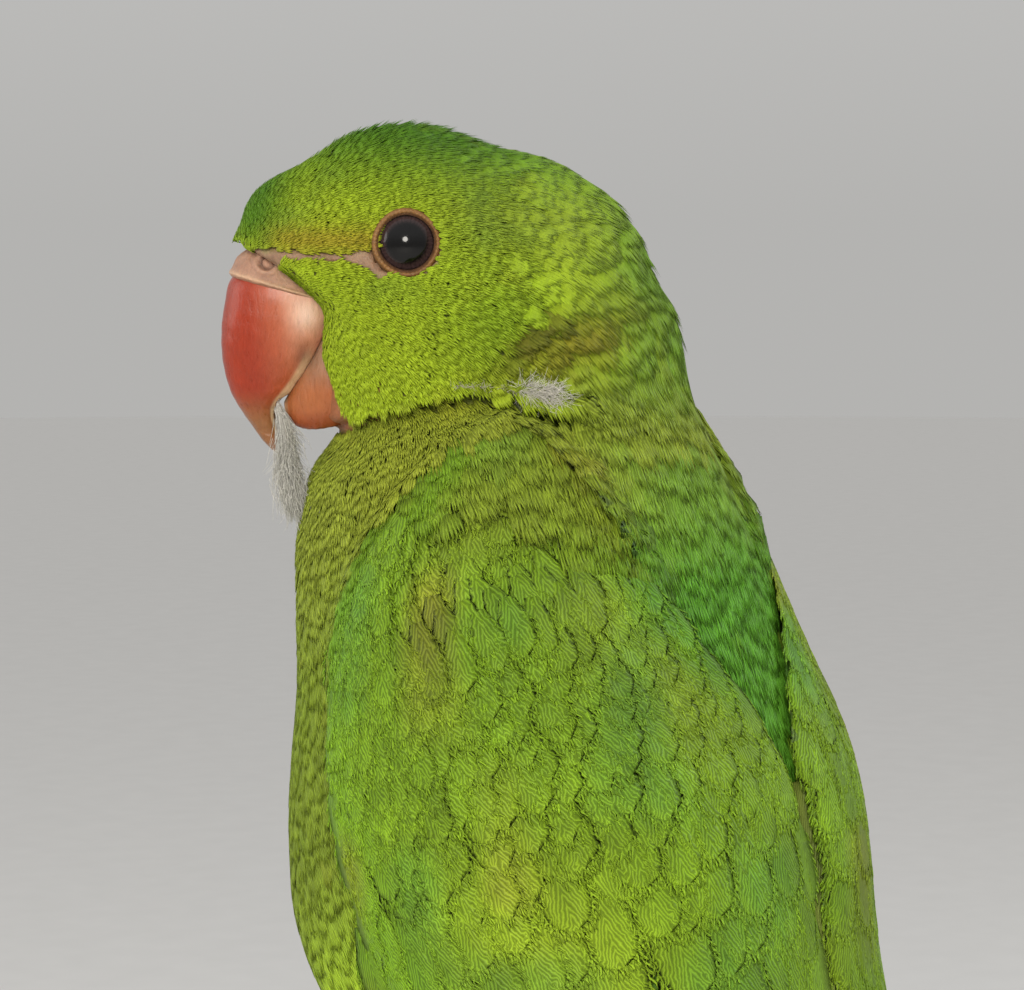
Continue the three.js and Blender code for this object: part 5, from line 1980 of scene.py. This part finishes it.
# Shafts of the down feathers in the head's frame. Those on the neck settle onto its coat.
BILL_DOWN = ((3.4, -17, -20.4), (3.2, -16.2, -23.6), (2.8, -15.8, -27), (2.4, -15.6, -30), (2.2, -15, -33))
NECK_DOWN = ((22, 13.8, -17.7), (22, 15.4, -18.3), (22, 17, -19), (22, 18.6, -19.8))
CREASE_DOWN = ((22, 5, -18.6), (22, 8, -18.2), (22, 11, -18), (22, 14, -18.2))


def wisps(roots, ways, lengths, width, rng):
    """Fine curling strands, closed and three-sided."""
    count, bends = len(roots), WISP_BENDS
    path = [roots]
    way = unit(ways)
    twist = unit(rng.standard_normal((count, 3)))
    for k in range(bends):
        way = unit(way + WISP_CURL * (0.4 + k) * np.cross(way, twist) * 0.5)
        path.append(path[-1] + way * (lengths / bends)[:, None])
    path = np.stack(path, 1)
    along = unit(np.gradient(path, axis=1))
    u = unit(np.cross(along, twist[:, None]))
    v = np.cross(along, u)
    taper = (1 - np.linspace(0, 1, bends + 1) ** 1.5 * 0.75)[None, :, None, None]
    turn = circle(3)
    ring = np.cos(turn)[:, None] * u[:, :, None] + np.sin(turn)[:, None] * v[:, :, None]
    rings = path[:, :, None] + ring * width * taper
    points = rings.reshape(count, -1, 3)
    caps = np.array([[0, 2, 1], [bends * 3, bends * 3 + 1, bends * 3 + 2]])
    faces = facing_out(points[0], [ring_quads(bends + 1, 3), caps])
    return points.reshape(-1, 3), copies(faces, count, points.shape[1])


def plume(name, shaft, bulk, spread, count, reach, width, srgb, rng, slot, *nodes):
    """A loose down feather: a bundle of barbs, bulk millimetres thick, along a bent shaft."""
    tone = linear(*srgb)
    share = rng.random(count) ** 0.8
    line = through(shaft)
    places, ahead = line(share), line(np.minimum(share + 0.1, 1.1))
    way = unit(ahead - places + 1e-4) + rng.standard_normal((count, 3)) * spread
    places = places + rng.standard_normal((count, 3)) * (bulk * (0.3 + share))[:, None]
    lengths = reach * (0.55 + 0.6 * rng.random(count)) * (1 - 0.45 * share)
    points, faces = wisps(places, way, lengths, width, rng)
    shade = (0.8 + 0.4 * rng.random(count)).repeat(len(points) // count)
    stem, stem_faces = closed_rings(rod(shaft, bulk * np.linspace(0.26, 0.1, len(shaft)), 8))
    stem_tint = np.broadcast_to(tone * 0.9, stem.shape)
    whole, all_faces, tint = join([(points, faces, tone * shade[:, None]), (stem, stem_faces, stem_tint)])
    piece = add_piece(name, whole, all_faces, DOWN, np.clip(tint, 0, 1))
    if nodes:
        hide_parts(*nodes)


def build_down():
    rng = np.random.default_rng(90)
    hanging = from_head(BILL_DOWN)
    plume("bill_down", hanging, 0.75, 0.2, 1700, 5.4, 0.05, (186, 184, 176), rng, "down", "down_feather")
    neck = settle(clothed_distance, from_head(NECK_DOWN), -0.3)
    plume("neck_down", neck, 0.6, 0.8, 1300, 3.0, 0.036, (204, 200, 188), rng, "down")
    under_cheek = settle(clothed_distance, from_head(CREASE_DOWN), -0.1)
    plume("crease_down", under_cheek, 0.15, 0.8, 220, 1.4, 0.035, (178, 174, 148), rng, "down")


# ---------------------------------------------------------------- feet


def saddle(middle, ahead, top, radius, wide, thick, reach):
    """A curved plate over the top of a toe, thicker at its far edge."""
    rows, columns = 4, 9
    side = np.cross(ahead, top)
    angles = np.linspace(-wide, wide, columns)[:, None]
    shell = []
    for outer in (False, True):
        for share in np.linspace(0, 1, rows):
            lift = (thick * (0.35 + 0.65 * share) if outer else -0.25) + 0.05 * math.sin(math.pi * share)
            swell = radius + lift
            place = middle + ahead * (share - 0.5) * reach
            shell.append(place + np.cos(angles) * top * swell + np.sin(angles) * side * swell)
    points = np.array(shell).reshape(-1, 3)
    level = rows * columns
    quads = []
    for i in range(rows - 1):
        for k in range(columns - 1):
            a = i * columns + k
            b = a + columns
            quads.append((a, a + 1, b + 1, b))
            quads.append((a + level, b + level, b + 1 + level, a + 1 + level))
        a = i * columns
        b = a + columns
        quads.append((a, b, b + level, a + level))
        quads.append((b - 1, b - 1 + level, b - 1 + columns + level, b - 1 + columns))
    for k in range(columns - 1):
        far = level - columns + k
        quads.append((k, k + level, k + 1 + level, k + 1))
        quads.append((far, far + 1, far + 1 + level, far + level))
    return points, facing_out(points - points.mean(0), [np.array(quads)])


def build_scutes():
    """Overlapping plates along the toes and up the front of the shanks."""
    parts = []
    for _, side in SIDES:
        flip = np.array([side, 1, 1])
        for toe in TOES:
            count = round(abs(toe[2]) / 8.5)
            for i in range(count):
                t = (i + 0.7) / count
                here, radius = toe_line(toe, np.array(t))
                ahead = unit(toe_line(toe, np.array(t + 0.02))[0] - toe_line(toe, np.array(t - 0.02))[0])
                top = unit(here - np.array([here[0], 0, PERCH_HEIGHT]))
                reach = math.radians(abs(toe[2])) * TOE_RING / count * 1.25
                parts.append(saddle(here * flip, ahead * flip, top * flip, float(radius), 1.45, 0.2, reach))
        points, radii = shank_line()
        for i in range(8):
            share = 0.12 + 0.1 * i
            here = through(points)(np.array(share))
            ahead = unit(points[4] - points[1])
            radius = float(np.interp(share, np.linspace(0, 1, 5), radii))
            front = unit(np.array([0, -1.0, 0]) + ahead * ahead[1])
            parts.append(saddle(here * flip, -ahead * flip, front * flip, radius, 1.5, 0.22, 1.9))
    # every scute has a tone of its own
    tones = [0.85 + 0.3 * ((i * 7) % 11) / 11 for i in range(len(parts))]
    parts = [(p, f, tinted(p, (158, 146, 138)) * tone) for (p, f), tone in zip(parts, tones)]
    points, faces, tint = join(parts)
    piece = add_piece("foot_scutes", points, faces, SKIN, tint)


def build_claws():
    parts, nodes = [], []
    for label, side in SIDES:
        for i, toe in enumerate(TOES):
            t = np.linspace(0, 1, 26)
            _, end, sweep, _, _ = toe
            degrees = sweep + math.copysign(1, sweep) * (1.5 + (CLAW_SWEEP + 3) * t)
            lift = 1.2 * np.sin(np.pi * t) - 0.9 * t * t
            line = round_perch(LEG_SIDE + end, degrees, TOE_RING + lift) * [side, 1, 1]
            radii = (1.2 - 0.98 * t**1.1) * np.sqrt(np.clip(1 - (t - 0.9) * 8, 0.15, 1))
            points, faces = closed_rings(rod(line, radii, CLAW_SIDES, squash=0.82))
            along = np.append(np.repeat(t, CLAW_SIDES), (0, 1))
            tint = paint(tinted(points, (96, 84, 76)), ((40, 34, 32), smooth(0.05, 0.6, along)))
            parts.append((points, faces, tint))
            nodes.append(f"claw_{label}_{i + 1}")
    points, faces, tint = join(parts)
    piece = add_piece("claws", points, faces, HORN, tint)
    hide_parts(*nodes)


# ---------------------------------------------------------------- perch and stand

STAND_RADIUS, STAND_THICKNESS, STAND_ROD = 62.0, 9.0, 4.0
STAND_CORNER, FLANGE_RADIUS = 1.5, 7.5
SPUR = ((-43, 1, 0), (-47, 7, 5), (-50, 12.5, 9))


def bark_rod(line, radii, sides, seed):
    """A branch with ridged bark and clean cut ends."""
    rings = rod(line, radii, sides)
    line = np.asarray(line, float)
    outer = unit(rings - line[:, None])
    grain = rings * [0.28, 1, 1]
    coarse, fine = np.abs(lattice_noise(grain, 1.6, seed)), np.abs(lattice_noise(grain, 0.8, seed + 1))
    ridges = coarse * 0.5 + fine * 0.25
    swell = lattice_noise(rings, 9.0, seed + 2) * 0.25
    bark = 0.42 - ridges + swell
    rings = rings + outer * bark[..., None]
    tint = paint(
        tinted(rings, (116, 96, 74)),
        ((66, 52, 40), np.clip(ridges * 2.2, 0, 1)),
        ((142, 132, 112), np.clip(lattice_noise(rings, 5.0, seed + 3), 0, 1) * 0.6),
    )
    # the cut ends, in rings of growth from the bark to the heart
    heart = np.linspace(1, 0.06, 14)[1:]
    wood, wood_tint = [], []
    for end in (0, -1):
        middle = line[end]
        cut = middle + (rings[end] - middle) * heart[:, None, None]
        dark = np.broadcast_to((np.arange(len(heart)) % 2)[:, None] * 0.7, cut.shape[:2])
        tone = paint(tinted(cut, (196, 164, 118)), ((150, 112, 74), dark))
        tone[0] = linear(104, 84, 62)
        wood.append(cut[::-1] if end == 0 else cut)
        wood_tint.append(tone[::-1] if end == 0 else tone)
    rings = np.concatenate([wood[0], rings, wood[1]])
    tint = np.concatenate([wood_tint[0], tint, wood_tint[1]])
    points, faces = closed_rings(rings)
    return points, faces, with_ends(tint)


def build_perch():
    t = np.linspace(0, 1, 260)
    line = np.stack([(t - 0.5) * PERCH_LENGTH, 0 * t, 0 * t + PERCH_HEIGHT], -1)
    radii = PERCH_RADIUS + 0.35 * np.sin(9 * t) - 0.35
    limb = bark_rod(line, radii, 110, 51)
    share = np.linspace(0, 1, 40)
    stub = through(SPUR)(share) + [0, 0, PERCH_HEIGHT]
    spur = bark_rod(stub, np.interp(share, (0, 0.5, 1), (4.6, 3.4, 3)), 60, 57)
    points, faces, tint = join([limb, spur])
    piece = add_piece("perch_bark", points, faces, BARK, tint)
    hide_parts("perch")


def lathe(profile, sides):
    """A closed mesh from pairs of radius and height, turned round the stand's axis."""
    turn = circle(sides)
    ring = np.stack([np.cos(turn), np.sin(turn)], -1)
    rings = [np.column_stack([ring * radius, np.full(sides, height)]) for radius, height in profile]
    return closed_rings(rings)


def build_stand():
    profile = [(2, 0), (30, 0), (STAND_RADIUS - 0.6, 0), (STAND_RADIUS, 0.6), (STAND_RADIUS, 4)]
    inner, lower = STAND_RADIUS - STAND_CORNER, STAND_THICKNESS - STAND_CORNER
    for angle in np.linspace(0, np.pi / 2, 7):
        profile.append((inner + STAND_CORNER * math.cos(angle), lower + STAND_CORNER * math.sin(angle)))
    profile += [(r, STAND_THICKNESS) for r in (55, 45, 35, 25, 15, 8, 2)]
    points, faces = lathe(profile, 128)
    base = add_piece("stand_base_wood", points, faces, WOOD)
    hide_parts("stand_base")
    top = PERCH_HEIGHT - PERCH_RADIUS + 0.3
    flange = ((0.5, 0), (FLANGE_RADIUS, 0), (FLANGE_RADIUS, 1.2), (FLANGE_RADIUS - 0.5, 1.8))
    flange += ((STAND_ROD + 0.3, 2.2), (STAND_ROD, 3))
    profile = [(r, STAND_THICKNESS + height) for r, height in flange]
    profile += [(STAND_ROD, height) for height in np.linspace(20, top, 12)] + [(0.5, top)]
    points, faces = lathe(profile, 64)
    rod_piece = add_piece("stand_rod_steel", points, faces, STEEL)
    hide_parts("stand_rod")


# ---------------------------------------------------------------- floor, light and camera

LENS, SENSOR = 106.9, 36.0
FRAME_WIDTH, FRAME_HEIGHT = 1024, 990
FOCAL_PIXELS = LENS / SENSOR * FRAME_WIDTH
DISTANCE = 380.0
AZIMUTH, ELEVATION = math.radians(125), math.radians(4)
EYE_PIXEL = (407, 243)  # where the eye stands in the photograph's frame
LIGHT_AIM = (0, 0, 0.23)
WALL, CEILING = (0.57, 0.565, 0.55, 1), (0.95, 0.95, 0.94, 1)
PAPER = (0.6, 0.59, 0.575, 1)
FLOOR_RADIUS, FLOOR_SIDES = 6000, 96


def place_camera():
    level = math.cos(ELEVATION)
    back = np.array([math.sin(AZIMUTH) * level, -math.cos(AZIMUTH) * level, math.sin(ELEVATION)])
    right = np.array([math.cos(AZIMUTH), math.sin(AZIMUTH), 0])
    up = np.cross(back, right)
    scale = DISTANCE / FOCAL_PIXELS
    eye = from_head([12.6, 0, 0])
    target = eye - right * (EYE_PIXEL[0] - FRAME_WIDTH / 2) * scale
    target = target - up * (FRAME_HEIGHT / 2 - EYE_PIXEL[1]) * scale
    camera = bpy.data.objects.new("camera", bpy.data.cameras.new("camera"))
    camera.data.lens = LENS
    camera.data.sensor_width = SENSOR
    camera.data.clip_start = 0.01
    camera.data.clip_end = 50
    turn = Matrix([right, up, back]).transposed().to_4x4()
    camera.matrix_world = Matrix.Translation(Vector((target + back * DISTANCE) * MM)) @ turn
    bpy.context.scene.collection.objects.link(camera)
    bpy.context.scene.camera = camera


def area_light(name, place, size, power, tone):
    light = bpy.data.lights.new(name, "AREA")
    light.shape = "DISK"
    light.size = size
    light.energy = power
    light.color = tone
    holder = bpy.data.objects.new(name, light)
    holder.location = place
    holder.rotation_euler = (Vector(LIGHT_AIM) - Vector(place)).to_track_quat("-Z", "Y").to_euler()
    bpy.context.scene.collection.objects.link(holder)


def build_stage():
    area_light("key", (0.66, 0.34, 0.5), 0.3, 5.2, (1.0, 0.95, 0.87))
    area_light("front", (0.45, -0.8, 0.5), 0.6, 2.6, (1.0, 0.97, 0.93))
    area_light("rim", (-0.75, 0.6, 0.6), 0.5, 4.5, (0.93, 0.97, 1.0))
    world = bpy.data.worlds.new("studio")
    world.use_nodes = True
    tree = world.node_tree
    back = tree.nodes["Background"]
    back.inputs["Strength"].default_value = 0.8
    # the walls of the studio are as bright as the floor at its far edge, and paler overhead
    way = tree.nodes.new("ShaderNodeTexCoord")
    parts = tree.nodes.new("ShaderNodeSeparateXYZ")
    height = tree.nodes.new("ShaderNodeMapRange")
    height.inputs["From Min"].default_value = 0.02
    height.inputs["From Max"].default_value = 0.6
    height.inputs["To Min"].default_value = 0.0
    tones = tree.nodes.new("ShaderNodeMix")
    tones.data_type = "RGBA"
    tones.inputs[6].default_value = WALL
    tones.inputs[7].default_value = CEILING
    tree.links.new(way.outputs["Generated"], parts.inputs[0])
    tree.links.new(parts.outputs[2], height.inputs[0])
    tree.links.new(height.outputs[0], tones.inputs[0])
    tree.links.new(tones.outputs[2], back.inputs["Color"])
    bpy.context.scene.world = world
    m = Shader("floor_paper")
    tone = m.remap(m.noise(0.05, 2, 0.5), 0.3, 0.7, 0.97, 1.0)
    turn = circle(FLOOR_SIDES)
    rim = np.stack([np.cos(turn), np.sin(turn), 0 * turn], -1)
    points = np.concatenate([rim * FLOOR_RADIUS, [[0, 0, 0]]])
    faces = [(k, (k + 1) % FLOOR_SIDES, FLOOR_SIDES) for k in range(FLOOR_SIDES)]
    mesh = bpy.data.meshes.new("floor")
    mesh.from_pydata((points * MM).tolist(), [], faces)
    mesh.materials.append(m.finish(Base_Color=m.shaded(PAPER, tone), Roughness=0.9))
    floor = bpy.data.objects.new("floor", mesh)
    bpy.context.scene.collection.objects.link(floor)
    view = bpy.context.scene.view_settings
    view.view_transform = "Standard"


# ---------------------------------------------------------------- the model

place_camera()
build_stage()
SKIN = skin_material()
HORN = horn_material()
EYE = eye_material()
build_skin()
build_eyes()
build_upper_bill()
build_lower_bill()
build_cere()
TUFT = tuft_material()
VANE = vane_material("wing_feather", 0.42, 18, 0.4, (9.0, 30.0))
SOFT_VANE = vane_material("body_feather", 0.42, 7, 0.34, (5.0, 14.0))
QUILL = vane_material("flight_feather", 0.38, 17, 0.28, (4.0, 10.0))
DOWN = down_material()
BARK = bark_material()
WOOD = wood_material()
STEEL = steel_material()
build_coat()
build_wings()
build_tail()
build_down()
build_scutes()
build_claws()
build_perch()
build_stand()
